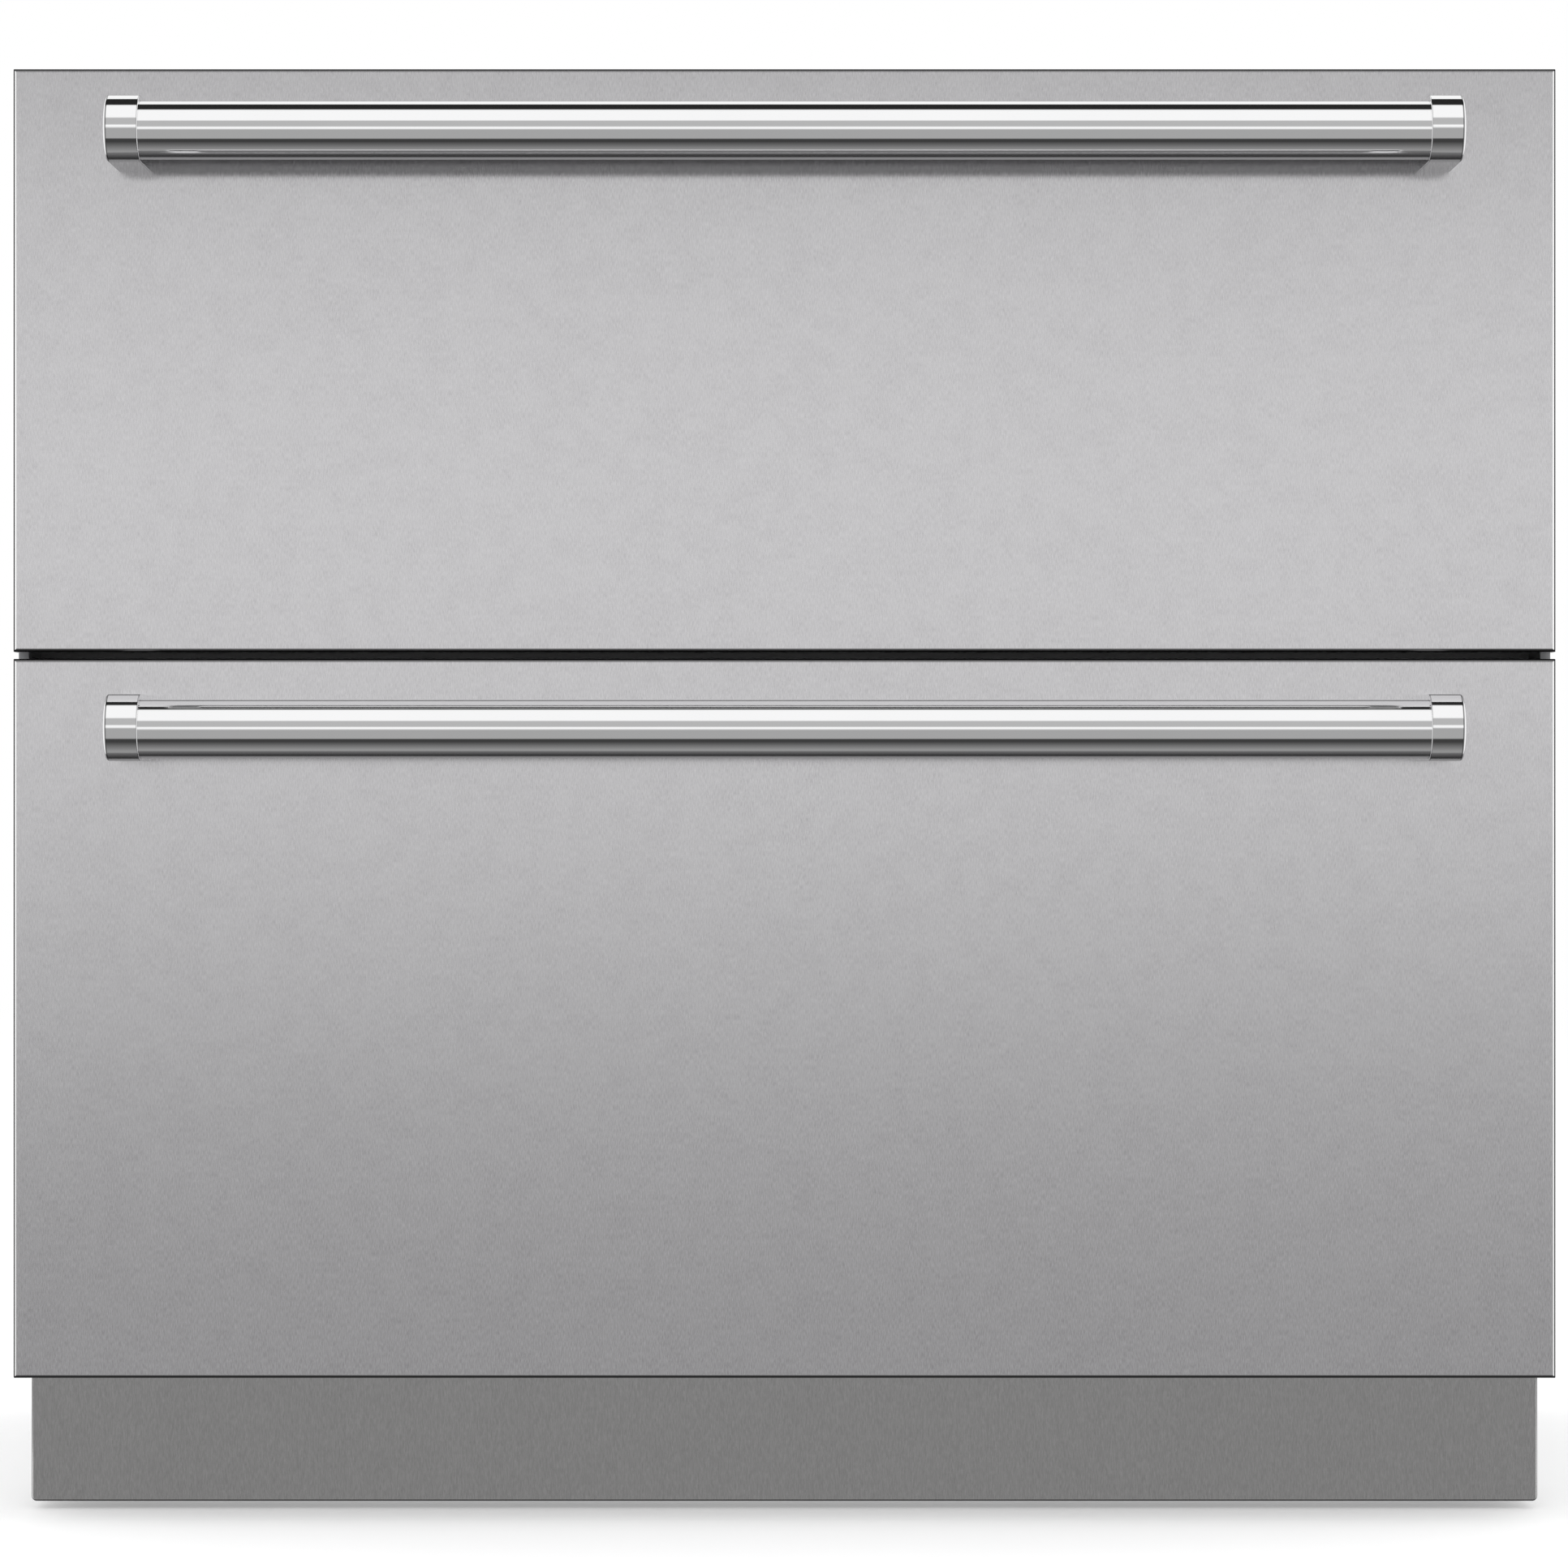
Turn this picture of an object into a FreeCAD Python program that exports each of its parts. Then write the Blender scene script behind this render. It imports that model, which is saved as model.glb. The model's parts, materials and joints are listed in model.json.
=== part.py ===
"""Undercounter drawer refrigerator, 36 in wide, with two full-extension drawers.

Frame: X across the width, Y from the fronts (negative) to the rear, Z up from the floor.
The origin is the centre of the footprint, on the floor. Lengths are in millimetres.
"""
import FreeCAD
import Part
import math
import os

Vector = FreeCAD.Vector

# ---- Overall size and the two drawer fronts ---------------------------------------------
WIDTH = 914.4                 # across the fronts
FRONT_BOTTOM = 87.8           # bottom edge of the lower front above the floor
LOWER_FRONT_HEIGHT = 426.4
FRONT_GAP = 4.1
UPPER_FRONT_HEIGHT = 345.6
SKIN_SHEET = 1.2              # folded stainless front
SKIN_DEPTH = 19.0
SKIN_BEND = 2.0               # outer radius of the fold
CORE_EDGE = 1.5               # rounded front edge of the core inside the fold
BODY_DEPTH = 38.0             # insulated body behind the stainless front
BODY_SIDE_INSET = 11.2
BODY_EDGE_INSET = 4.0
BODY_WALL = 2.0
BODY_CORNER = 6.0
GASKET_DEPTH = 11.7
GASKET_WIDTH = 11.0
GASKET_INSET = 1.0            # from the opening's edge to the gasket
GASKET_LIP = 3.0              # thickness of the gasket's base and of its sealing face
GASKET_NECK = 6.0
SEAL_CLEARANCE = 0.3

# ---- Handles ---------------------------------------------------------------------------
HANDLE_LENGTH = 792.0
HANDLE_DROP = 41.2            # from the top edge of a front to the axis of its brackets
HANDLE_REACH = 45.6           # from the face of a front to the bar's axis
BAR_RADIUS = 17.0
BAR_WALL = 2.0
BAR_SAG = 0.9                 # the bar's axis is this much below the axis of its brackets
BAR_SEAT = 8.0                # length of bar inside each bracket
BAR_FIT = 0.05
BRACKET_RADIUS = 19.5
BRACKET_WIDTH = 20.0
BRACKET_EDGE = 2.5

# ---- Cabinet shell ---------------------------------------------------------------------
SIDE_INSET = 0.4              # cabinet sides inside the edges of the fronts
TOP_DROP = 1.9
BOTTOM_RISE = 0.7
SHEET = 1.0
FRAME_SHEET = 1.2
TRIM_CLEARANCE = 1.5          # from the folded fronts to the front edge of the sides
TRIM_WIDTH = 6.0
SIDE_INSULATION = 46.8
CEILING_INSULATION = 48.0
FLOOR_INSULATION = 46.5
REAR_INSULATION = 47.0
LINER_WALL = 2.0
MULLION_HEIGHT = 40.0
MULLION_DEPTH = 40.0
MULLION_EDGE = 4.0
BAY_DEPTH = 228.0             # machine compartment at the bottom of the rear
BAY_TOP = 300.0
BAY_INSULATION = 45.0
TRAY_HEIGHT = 20.0            # underside of the base tray above the floor
TRAY_SHEET = 1.5
TRAY_SETBACK = 25.0           # from the kickplate to the tray's front flange
COVER_RECESS = 4.0            # machine cover ahead of the rear panel
COVER_LAP = 24.0              # how far the cover's flanges reach in from the sides
COVER_MARGIN = 3.0

# ---- Kickplate and legs ----------------------------------------------------------------
KICK_RECESS = 74.7
KICK_SHEET = 1.2
KICK_FLOOR_GAP = 5.0
KICK_FLANGE = 18.0
KICK_CORNER = 2.0
LEG_FRONT_SETBACK = 150.0     # from the face of the fronts
LEG_REAR_SETBACK = 42.0       # from the rear
LEG_SIDE_INSET = 37.0
FOOT_RADIUS = 25.0
FOOT_HEIGHT = 9.0
FOOT_EDGE = 2.0
STUD_RADIUS = 7.0
STUD_LENGTH = 53.0
STUD_CLEARANCE = 0.3
NUT_ACROSS = 24.0
NUT_HEIGHT = 6.0
BUSH_RADIUS = 13.0
BUSH_HEIGHT = 30.0

# ---- Drawers ---------------------------------------------------------------------------
UPPER_SLIDE_DROP = 149.0      # from the ceiling to the upper slides
LOWER_SLIDE_DROP = 76.25      # from the mullion to the lower slides
SLIDE_LENGTH = 430.0
SLIDE_HEIGHT = 45.0
SLIDE_THICKNESS = 12.7
SLIDE_SHEET = 1.2
SLIDE_CLEARANCE = 0.5
SLIDE_SETBACK = 3.8           # from the back of the face frame to the slides
CARRIER_SHEET = 1.5
CARRIER_RISE = 30.0           # top of the drawer carrier above the slide's centre
CARRIER_FLANGE = 13.3
CARRIER_SETBACK = 4.0         # rear of the carrier ahead of the slide's rear end
CARRIER_CROSS_RISE = 12.0
BEARING_SHEET = 3.0
BEARING_LENGTH = 20.0
BEARING_CAP = 8.0             # bearing plate above the shaft's axis
BEARING_INSET = 8.3
SHAFT_RADIUS = 4.0
SHAFT_CLEARANCE = 0.08
SHAFT_SETBACK = 19.0          # shaft axis ahead of the slide's rear end

MODULE = 2.0
PINION_TEETH = 12
PRESSURE_ANGLE = 20.0
BACKLASH = 0.3
PINION_ADDENDUM = 1.6
PINION_DEDENDUM = 1.5
PINION_WIDTH = 7.0
PINION_CLEARANCE = 1.5        # from the pinion's tips to the slide below it
PINION_SIDE_CLEARANCE = 1.7   # from the slide's inner face to the pinion
RACK_ADDENDUM = 1.2
RACK_DEDENDUM = 1.9
RACK_BACKING = 4.0
RACK_WIDTH = 12.0
RACK_SETBACK = 5.0

BIN_WALL = 2.5
BIN_CORNER = 14.0
BIN_CLEARANCE = 1.0           # from the bin to the carrier's flanges
BIN_FRONT_CLEARANCE = 3.0
BIN_REAR_CLEARANCE = 20.0     # from the bin to the shaft's axis
BIN_FLOOR_CLEARANCE = 12.0
BIN_HUMP_CLEARANCE = 12.0
RIM_THICKNESS = 3.0
RIM_WIDTH = 11.0
RIM_FRONT = 2.0
RIM_REAR = 8.0
DIVIDER_THICKNESS = 3.0
DIVIDER_CLEARANCE = 0.4
DIVIDER_CAP_WIDTH = 12.0
DIVIDER_CAP_HEIGHT = 3.0
REST_CLEARANCE = 0.3

# ---- Cold side: evaporator, fan, lamp and controls --------------------------------------
COVER_DEPTH = 50.0            # evaporator cover ahead of the liner's rear wall
COVER_SLIDE_GAP = 6.0         # from the slides to the evaporator cover
COVER_WALL = 2.0
COVER_SIDE_GAP = 10.0
COVER_EDGE_GAP = 4.0
COVER_EDGE = 6.0
EVAPORATOR_WIDTH = 500.0
EVAPORATOR_DEPTH = 30.0
EVAPORATOR_HEIGHT = 112.0
EVAPORATOR_RISE = 38.0        # above the compartment's step
EVAPORATOR_FINS = 22
FIN_THICKNESS = 1.5
EVAPORATOR_TUBE = 4.0
EVAPORATOR_ROWS = 4
EVAPORATOR_STANDOFF = 4.0
COLD_FAN_DROP = 64.0          # fan axis below the ceiling
COLD_FAN_RADIUS = 50.0
COLD_FAN_DEPTH = 14.0
COLD_FAN_CLEARANCE = 4.0
COLD_HUB_RADIUS = 14.0
COLD_MOTOR_RADIUS = 19.0
COLD_MOTOR_DEPTH = 16.0
COLD_SHAFT_RADIUS = 2.5
COLD_MOTOR_GAP = 1.0          # from the fan to its motor
FAN_SHAFT_CLEARANCE = 0.08
GRILLE_RADIUS = 52.0
GRILLE_BARS = 7
GRILLE_BAR = 3.0
OUTLET_SLOTS = 9
OUTLET_LENGTH = 52.0
OUTLET_HEIGHT = 8.0
OUTLET_RISE = 26.0
LAMP_LENGTH = 360.0
LAMP_DEPTH = 24.0
LAMP_HEIGHT = 8.0
LAMP_EDGE = 3.0
LAMP_SETBACK = 68.0           # from the face frame
PANEL_WIDTH = 150.0
PANEL_DEPTH = 44.0
PANEL_HEIGHT = 17.0
PANEL_SETBACK = 6.0
PANEL_SLOPE = 5.0
BUTTON_RADIUS = 5.0
BUTTON_CLEARANCE = 0.15
BUTTON_SPACING = 32.0
BUTTON_STAND = 1.6
BUTTON_DEPTH = 5.0
BUTTON_TRAVEL = 1.0
BUTTON_EDGE = 0.5

# ---- Warm side: compressor, condenser, fan and lines ------------------------------------
COMPRESSOR_INSET = 230.8      # from the inside of the side wall to its centre
COMPRESSOR_RADIUS = 72.0
COMPRESSOR_HEIGHT = 160.0
COMPRESSOR_DOME = 34.0
COMPRESSOR_SEAM = 3.0
FOOT_PLATE = 3.0
FOOT_PLATE_SIZE = 176.0
GROMMET_RADIUS = 11.0
GROMMET_HEIGHT = 15.0
GROMMET_SPACING = 140.0
RELAY_DEPTH = 36.0             # out from the compressor's shell
RELAY_WIDTH = 60.0
RELAY_HEIGHT = 60.0
RELAY_RISE = 12.0
RELAY_LAP = 4.0
CONDENSER_INSET = 155.8       # from the inside of the side wall to its centre
CONDENSER_THICKNESS = 46.0
CONDENSER_LENGTH = 180.0
CONDENSER_HEIGHT = 200.0
CONDENSER_FINS = 18
CONDENSER_TUBE = 4.5
CONDENSER_ROWS = 5
SHROUD_SHEET = 1.5
WARM_FAN_RADIUS = 80.0
WARM_FAN_DEPTH = 22.0
WARM_FAN_CLEARANCE = 5.0
WARM_HUB_RADIUS = 18.0
WARM_MOTOR_RADIUS = 27.0
WARM_MOTOR_DEPTH = 40.0
WARM_SHAFT_RADIUS = 3.0
WARM_MOTOR_GAP = 2.0
STAND_WIDTH = 44.0
STAND_SHEET = 2.0
FAN_BLADES = 5
BLADE_PITCH = 28.0
BLADE_THICKNESS = 1.6
BLADE_FILL = 0.86             # share of the fan's depth that the pitched blades take
BLADE_ROOT = 0.7              # blade roots start at this share of the hub's radius
PAN_SIZE_Y = 150.0
PAN_HEIGHT = 28.0
PAN_WALL = 1.5
PAN_CORNER = 8.0
PAN_PLATE_GAP = 42.0          # from the pan to the compressor's foot plate
PAN_STAND_GAP = 67.5          # from the pan to the foot of the fan's stand
LINE_RADIUS = 4.0
LINE_BEND = 24.0
LINE_DROP = 30.0              # level run below the top of the bay
LINE_INSET = 8.0              # lines inside the condenser's front edge
LINE_END = 14.0               # line ends from the condenser's top and bottom
LINE_STANDOFF = 60.0          # upright line out from the condenser
LINE_SWEEP = 70.0             # sideways run of the discharge line as it crosses the bay
DISCHARGE_PORT = (-20.0, -20.0)   # from the compressor's centre
SUCTION_PORT = (26.0, 10.0)
DRIER_RADIUS = 10.0
DRIER_LENGTH = 70.0
VENT_COLUMNS = 4
VENT_ROWS = 12
VENT_LENGTH = 150.0
VENT_HEIGHT = 7.0
VENT_PITCH = 15.0
VENT_GAP = 40.0
GLAND_BORE = 4.5
GLAND_RADIUS = 8.0
GLAND_FLANGE = 12.0
GLAND_FLANGE_HEIGHT = 3.0
GLAND_LENGTH = 16.0
GLAND_INSET = 51.8            # from the outside of the side wall to its centre
GLAND_FIT = 0.05
GLAND_HEIGHT = 60.0

# ---- Counter brackets and screws -------------------------------------------------------
COUNTER_BRACKET_INSET = 86.8  # from the outside of the side wall to its centre
COUNTER_BRACKET_WIDTH = 60.0
COUNTER_BRACKET_SHEET = 1.5
COUNTER_BRACKET_LAP = 50.0    # on the cabinet top
COUNTER_BRACKET_REACH = 42.0  # ahead of the face frame
COUNTER_BRACKET_CORNER = 7.5
COUNTER_HOLE_RADIUS = 2.75
COUNTER_HOLE_FIRST = 10.0     # from the bracket's front edge
COUNTER_HOLE_SPACING = 22.0
BRACKET_SCREW_FIRST = 17.5    # behind the front of the face frame
BRACKET_SCREW_SPACING = 20.0
SCREW_HEAD_RADIUS = 4.5
SCREW_HEAD_HEIGHT = 2.0
SCREW_SHANK_RADIUS = 2.0
SCREW_FIT = 0.05
SCREW_DOME = 1.2
SCREW_EDGE = 13.0             # screw rows from the edges of the shell
TOP_SCREW_SHARES = (0.3, 0.6, 0.93)

# ---- Planes worked out from the sizes above --------------------------------------------
# The depth, from the face of the fronts to the rear screw heads, follows the slides' length.
OPENING_DEPTH = SKIN_DEPTH + BODY_DEPTH + GASKET_DEPTH + SEAL_CLEARANCE + FRAME_SHEET
COMPARTMENT_DEPTH = SLIDE_SETBACK + SLIDE_LENGTH + COVER_SLIDE_GAP + COVER_DEPTH
DEPTH = OPENING_DEPTH + COMPARTMENT_DEPTH + REAR_INSULATION + SHEET + SCREW_HEAD_HEIGHT
HANDLE_PROJECTION = HANDLE_REACH + BRACKET_RADIUS
FRONT_Y = (HANDLE_PROJECTION - DEPTH) / 2
REAR_Y = FRONT_Y + DEPTH
SKIN_BACK = FRONT_Y + SKIN_DEPTH
TRIM_Y = SKIN_BACK + TRIM_CLEARANCE
BODY_BACK = SKIN_BACK + BODY_DEPTH
FRAME_Y = BODY_BACK + GASKET_DEPTH + SEAL_CLEARANCE
FRAME_BACK = FRAME_Y + FRAME_SHEET
KICK_Y = FRONT_Y + KICK_RECESS
KICK_BACK = KICK_Y + KICK_SHEET
TRAY_Y = KICK_BACK + TRAY_SETBACK
SHELL_BACK = REAR_Y - SCREW_HEAD_HEIGHT
SHELL_REAR = SHELL_BACK - SHEET
LINER_BACK = SHELL_REAR - REAR_INSULATION
BAY_Y = SHELL_BACK - BAY_DEPTH
COVER_Y = SHELL_BACK - COVER_RECESS
HUMP_Y = BAY_Y - BAY_INSULATION

LOWER_FRONT_TOP = FRONT_BOTTOM + LOWER_FRONT_HEIGHT
UPPER_FRONT_BOTTOM = LOWER_FRONT_TOP + FRONT_GAP
UPPER_FRONT_TOP = UPPER_FRONT_BOTTOM + UPPER_FRONT_HEIGHT
SHELL_TOP = UPPER_FRONT_TOP - TOP_DROP
SHELL_BOTTOM = FRONT_BOTTOM + BOTTOM_RISE
CEILING_Z = SHELL_TOP - CEILING_INSULATION
FLOOR_Z = SHELL_BOTTOM + FLOOR_INSULATION
MULLION_MIDDLE = (LOWER_FRONT_TOP + UPPER_FRONT_BOTTOM) / 2
MULLION_BOTTOM = MULLION_MIDDLE - MULLION_HEIGHT / 2
MULLION_TOP = MULLION_MIDDLE + MULLION_HEIGHT / 2
HUMP_TOP = BAY_TOP + BAY_INSULATION
TRAY_TOP = TRAY_HEIGHT + TRAY_SHEET

SHELL_HALF = WIDTH / 2 - SIDE_INSET
INNER_HALF = SHELL_HALF - SHEET
LINER_HALF = SHELL_HALF - SIDE_INSULATION
BODY_HALF = WIDTH / 2 - BODY_SIDE_INSET
COUNTER_BRACKET_X = SHELL_HALF - COUNTER_BRACKET_INSET
GLAND_X = GLAND_INSET - SHELL_HALF
COMPRESSOR_X = INNER_HALF - COMPRESSOR_INSET
CONDENSER_X = CONDENSER_INSET - INNER_HALF
WARM_FAN_X = CONDENSER_X + CONDENSER_THICKNESS / 2 + SHROUD_SHEET + WARM_FAN_CLEARANCE
WARM_STAND_X = WARM_FAN_X + WARM_FAN_DEPTH + WARM_MOTOR_GAP + WARM_MOTOR_DEPTH
PAN_LEFT = WARM_STAND_X + STAND_WIDTH + PAN_STAND_GAP
PAN_RIGHT = COMPRESSOR_X - FOOT_PLATE_SIZE / 2 - PAN_PLATE_GAP

UPPER_SLIDE_Z = CEILING_Z - UPPER_SLIDE_DROP
LOWER_SLIDE_Z = MULLION_BOTTOM - LOWER_SLIDE_DROP
SLIDE_FRONT = FRAME_BACK + SLIDE_SETBACK
SLIDE_REAR = SLIDE_FRONT + SLIDE_LENGTH
SLIDE_INNER = LINER_HALF - SLIDE_THICKNESS
CARRIER_REAR = SLIDE_REAR - CARRIER_SETBACK
CARRIER_EDGE = SLIDE_INNER - CARRIER_FLANGE
SHAFT_Y = SLIDE_REAR - SHAFT_SETBACK
PITCH_RADIUS = MODULE * PINION_TEETH / 2
TIP_RADIUS = PITCH_RADIUS + PINION_ADDENDUM
SHAFT_RISE = SLIDE_HEIGHT / 2 + TIP_RADIUS + PINION_CLEARANCE
TOOTH_PITCH = math.pi * MODULE
BIN_HALF = CARRIER_EDGE - BIN_CLEARANCE
BIN_FRONT = BODY_BACK + BIN_FRONT_CLEARANCE
BIN_REAR = SHAFT_Y - BIN_REAR_CLEARANCE
COLD_COVER_Y = LINER_BACK - COVER_DEPTH
MACHINE_Y = (BAY_Y + COVER_Y) / 2


# ---- Small modelling helpers -----------------------------------------------------------
def block(x0, x1, y0, y1, z0, z1):
    """A box between two corners."""
    return Part.makeBox(x1 - x0, y1 - y0, z1 - z0, Vector(x0, y0, z0))


def cylinder(radius, start, axis, length):
    """A cylinder from a start point along an axis."""
    return Part.makeCylinder(radius, length, Vector(*start), Vector(*axis))


def prism_x(outline, x0, x1):
    """A (y, z) outline extruded along X."""
    points = [Vector(x0, y, z) for y, z in outline]
    face = Part.Face(Part.makePolygon(points + points[:1]))
    return face.extrude(Vector(x1 - x0, 0, 0))


def prism_y(outline, y0, y1):
    """An (x, z) outline extruded along Y."""
    points = [Vector(x, y0, z) for x, z in outline]
    face = Part.Face(Part.makePolygon(points + points[:1]))
    return face.extrude(Vector(0, y1 - y0, 0))


def mirrored(shape):
    """The same shape on the other side of the middle plane."""
    return shape.mirror(Vector(0, 0, 0), Vector(1, 0, 0))


def pair(shape):
    """A shape and its mirror image, as separate solids."""
    return [shape, mirrored(shape)]


def joined(shapes):
    """One solid out of touching or overlapping shapes."""
    first, *others = shapes
    return first.fuse(others).removeSplitter() if others else first


def cut(shape, tools):
    """The shape with every tool taken out of it."""
    return shape.cut(list(tools)) if tools else shape


def rounded(shape, radius, chosen):
    """The shape with the chosen edges filleted."""
    edges = [edge for edge in shape.Edges if chosen(edge)]
    return shape.makeFillet(radius, edges)


def runs_along(edge, axis):
    """Whether a straight edge is parallel to an axis, given as 0, 1 or 2."""
    ends = [vertex.Point for vertex in edge.Vertexes]
    if len(ends) != 2:
        return False
    offset = ends[1] - ends[0]
    others = [abs(offset[i]) for i in range(3) if i != axis]
    return max(others) < 1e-6 and abs(offset[axis]) > 1e-6


def lies_on(edge, axis, value):
    """Whether the whole edge lies in the plane where an axis has one value."""
    box = edge.BoundBox
    low = (box.XMin, box.YMin, box.ZMin)[axis]
    high = (box.XMax, box.YMax, box.ZMax)[axis]
    return abs(low - value) < 1e-4 and abs(high - value) < 1e-4


def save(name, shapes):
    """Write one named piece, or a group of alike pieces, to its own file."""
    solids = [solid for shape in shapes for solid in shape.Solids]
    result = solids[0] if len(solids) == 1 else Part.makeCompound(solids)
    for solid in solids:
        if not solid.isValid() or solid.Volume <= 0:
            raise ValueError(f"{name} has a solid that isn't valid")
    result.exportStep(f"parts/{name}.step")


# ---- Drawer fronts ---------------------------------------------------------------------
def front_skin(bottom, top):
    """Folded stainless sheet, open at the back."""
    half = WIDTH / 2
    outside = block(-half, half, FRONT_Y, SKIN_BACK, bottom, top)
    outside = rounded(outside, SKIN_BEND, lambda edge: lies_on(edge, 1, FRONT_Y))
    inner_half = half - SKIN_SHEET
    inner_front = FRONT_Y + SKIN_SHEET
    inside = block(-inner_half, inner_half, inner_front, SKIN_BACK, bottom + SKIN_SHEET, top - SKIN_SHEET)
    inside = rounded(inside, SKIN_BEND - SKIN_SHEET, lambda edge: lies_on(edge, 1, inner_front))
    return outside.cut(inside)


def front_core(bottom, top):
    """Insulation that fills the folded front and the body behind it."""
    half = WIDTH / 2 - SKIN_SHEET
    inner_front = FRONT_Y + SKIN_SHEET
    ahead = block(-half, half, inner_front, SKIN_BACK, bottom + SKIN_SHEET, top - SKIN_SHEET)
    ahead = rounded(ahead, CORE_EDGE, lambda edge: lies_on(edge, 1, inner_front))
    inner_half = BODY_HALF - BODY_WALL
    inset = BODY_EDGE_INSET + BODY_WALL
    behind = block(-inner_half, inner_half, SKIN_BACK, BODY_BACK - BODY_WALL, bottom + inset, top - inset)
    behind = rounded(behind, BODY_CORNER, lambda edge: runs_along(edge, 1))
    return joined([ahead, behind])


def front_liner(bottom, top):
    """Moulded pan that closes the back of the insulated front."""
    low, high = bottom + BODY_EDGE_INSET, top - BODY_EDGE_INSET
    outside = block(-BODY_HALF, BODY_HALF, SKIN_BACK, BODY_BACK, low, high)
    outside = rounded(outside, BODY_CORNER, lambda edge: runs_along(edge, 1))
    inner_half = BODY_HALF - BODY_WALL
    inside = block(-inner_half, inner_half, SKIN_BACK, BODY_BACK - BODY_WALL,
                   low + BODY_WALL, high - BODY_WALL)
    return outside.cut(rounded(inside, BODY_CORNER - BODY_WALL, lambda edge: runs_along(edge, 1)))


def band(half, low, high, width, front, back):
    """A rectangular ring that stands around an opening."""
    outer = block(-half - width, half + width, front, back, low - width, high + width)
    return outer.cut(block(-half, half, front, back, low, high))


def gasket(low, high):
    """Soft seal around an opening: a base, a narrower bellows and a sealing face."""
    inner_half = LINER_HALF + GASKET_INSET
    low, high = low - GASKET_INSET, high + GASKET_INSET
    face_y = BODY_BACK + GASKET_DEPTH
    side = (GASKET_WIDTH - GASKET_NECK) / 2
    base = band(inner_half, low, high, GASKET_WIDTH, BODY_BACK, BODY_BACK + GASKET_LIP)
    neck = band(inner_half + side, low - side, high + side, GASKET_NECK,
                BODY_BACK + GASKET_LIP, face_y - GASKET_LIP)
    face = band(inner_half, low, high, GASKET_WIDTH, face_y - GASKET_LIP, face_y)
    return joined([base, neck, face])


# ---- Handles ---------------------------------------------------------------------------
def handle_bar(axis_z):
    """Round tube between the two brackets."""
    half = HANDLE_LENGTH / 2 - BRACKET_WIDTH + BAR_SEAT
    start = (-half, FRONT_Y - HANDLE_REACH, axis_z - BAR_SAG)
    outside = cylinder(BAR_RADIUS, start, (1, 0, 0), 2 * half)
    return outside.cut(cylinder(BAR_RADIUS - BAR_WALL, start, (1, 0, 0), 2 * half))


def handle_bracket(axis_z):
    """Right-hand bracket: a block with a half-round nose and a pocket for the bar."""
    x1 = HANDLE_LENGTH / 2
    x0 = x1 - BRACKET_WIDTH
    axis_y = FRONT_Y - HANDLE_REACH
    low, high = axis_z - BRACKET_RADIUS, axis_z + BRACKET_RADIUS
    corners = [Vector(x0, FRONT_Y, low), Vector(x0, axis_y, low),
               Vector(x0, axis_y, high), Vector(x0, FRONT_Y, high)]
    nose = Vector(x0, axis_y - BRACKET_RADIUS, axis_z)
    edges = [Part.LineSegment(corners[0], corners[1]).toShape(),
             Part.Arc(corners[1], nose, corners[2]).toShape(),
             Part.LineSegment(corners[2], corners[3]).toShape(),
             Part.LineSegment(corners[3], corners[0]).toShape()]
    solid = Part.Face(Part.Wire(edges)).extrude(Vector(BRACKET_WIDTH, 0, 0))
    solid = rounded(solid, BRACKET_EDGE,
                    lambda edge: lies_on(edge, 0, x1) and not lies_on(edge, 1, FRONT_Y))
    pocket = cylinder(BAR_RADIUS + BAR_FIT, (x0, axis_y, axis_z - BAR_SAG), (1, 0, 0), BAR_SEAT)
    return solid.cut(pocket)


# ---- Cabinet shell ---------------------------------------------------------------------
def compartment_outline(grow):
    """Y-Z outline of the food compartment, grown into the insulation and open at the front."""
    rear, floor, ceiling = LINER_BACK + grow, FLOOR_Z - grow, CEILING_Z + grow
    step_y, step_z = HUMP_Y + grow, HUMP_TOP - grow
    return [(FRAME_BACK, floor), (step_y, floor), (step_y, step_z),
            (rear, step_z), (rear, ceiling), (FRAME_BACK, ceiling)]


def inner_liner():
    """Moulded compartment with a step over the machine bay."""
    half = LINER_HALF + LINER_WALL
    outside = prism_x(compartment_outline(LINER_WALL), -half, half)
    return outside.cut(prism_x(compartment_outline(0), -LINER_HALF, LINER_HALF))


def cabinet_foam():
    """Insulation between the shell and the liner."""
    filling = block(-INNER_HALF, INNER_HALF, FRAME_BACK, SHELL_REAR, SHELL_BOTTOM + SHEET, SHELL_TOP - SHEET)
    bay = block(-INNER_HALF, INNER_HALF, BAY_Y - SHEET, SHELL_REAR, SHELL_BOTTOM, BAY_TOP + SHEET)
    half = LINER_HALF + LINER_WALL
    return cut(filling, [bay, prism_x(compartment_outline(LINER_WALL), -half, half)])


def side_wall():
    """Right-hand side: an outer sheet with a folded front trim and a lap for the machine cover."""
    top = SHELL_TOP - SHEET
    outline = [(TRIM_Y, SHELL_BOTTOM), (KICK_BACK, SHELL_BOTTOM), (KICK_BACK, TRAY_HEIGHT),
               (SHELL_BACK, TRAY_HEIGHT), (SHELL_BACK, top), (TRIM_Y, top)]
    sheet = prism_x(outline, INNER_HALF, SHELL_HALF)
    trim_x = SHELL_HALF - TRIM_WIDTH
    trim = block(trim_x, SHELL_HALF, TRIM_Y, TRIM_Y + SHEET, SHELL_BOTTOM, top)
    fold = block(trim_x, trim_x + SHEET, TRIM_Y, FRAME_Y, SHELL_BOTTOM, top)
    lap = block(INNER_HALF - COVER_LAP, SHELL_HALF, COVER_Y - SHEET, COVER_Y, TRAY_TOP, BAY_TOP)
    solid = joined([sheet, trim, fold, lap])
    return cut(solid, [shank(place) for place in cover_screws()])


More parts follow.
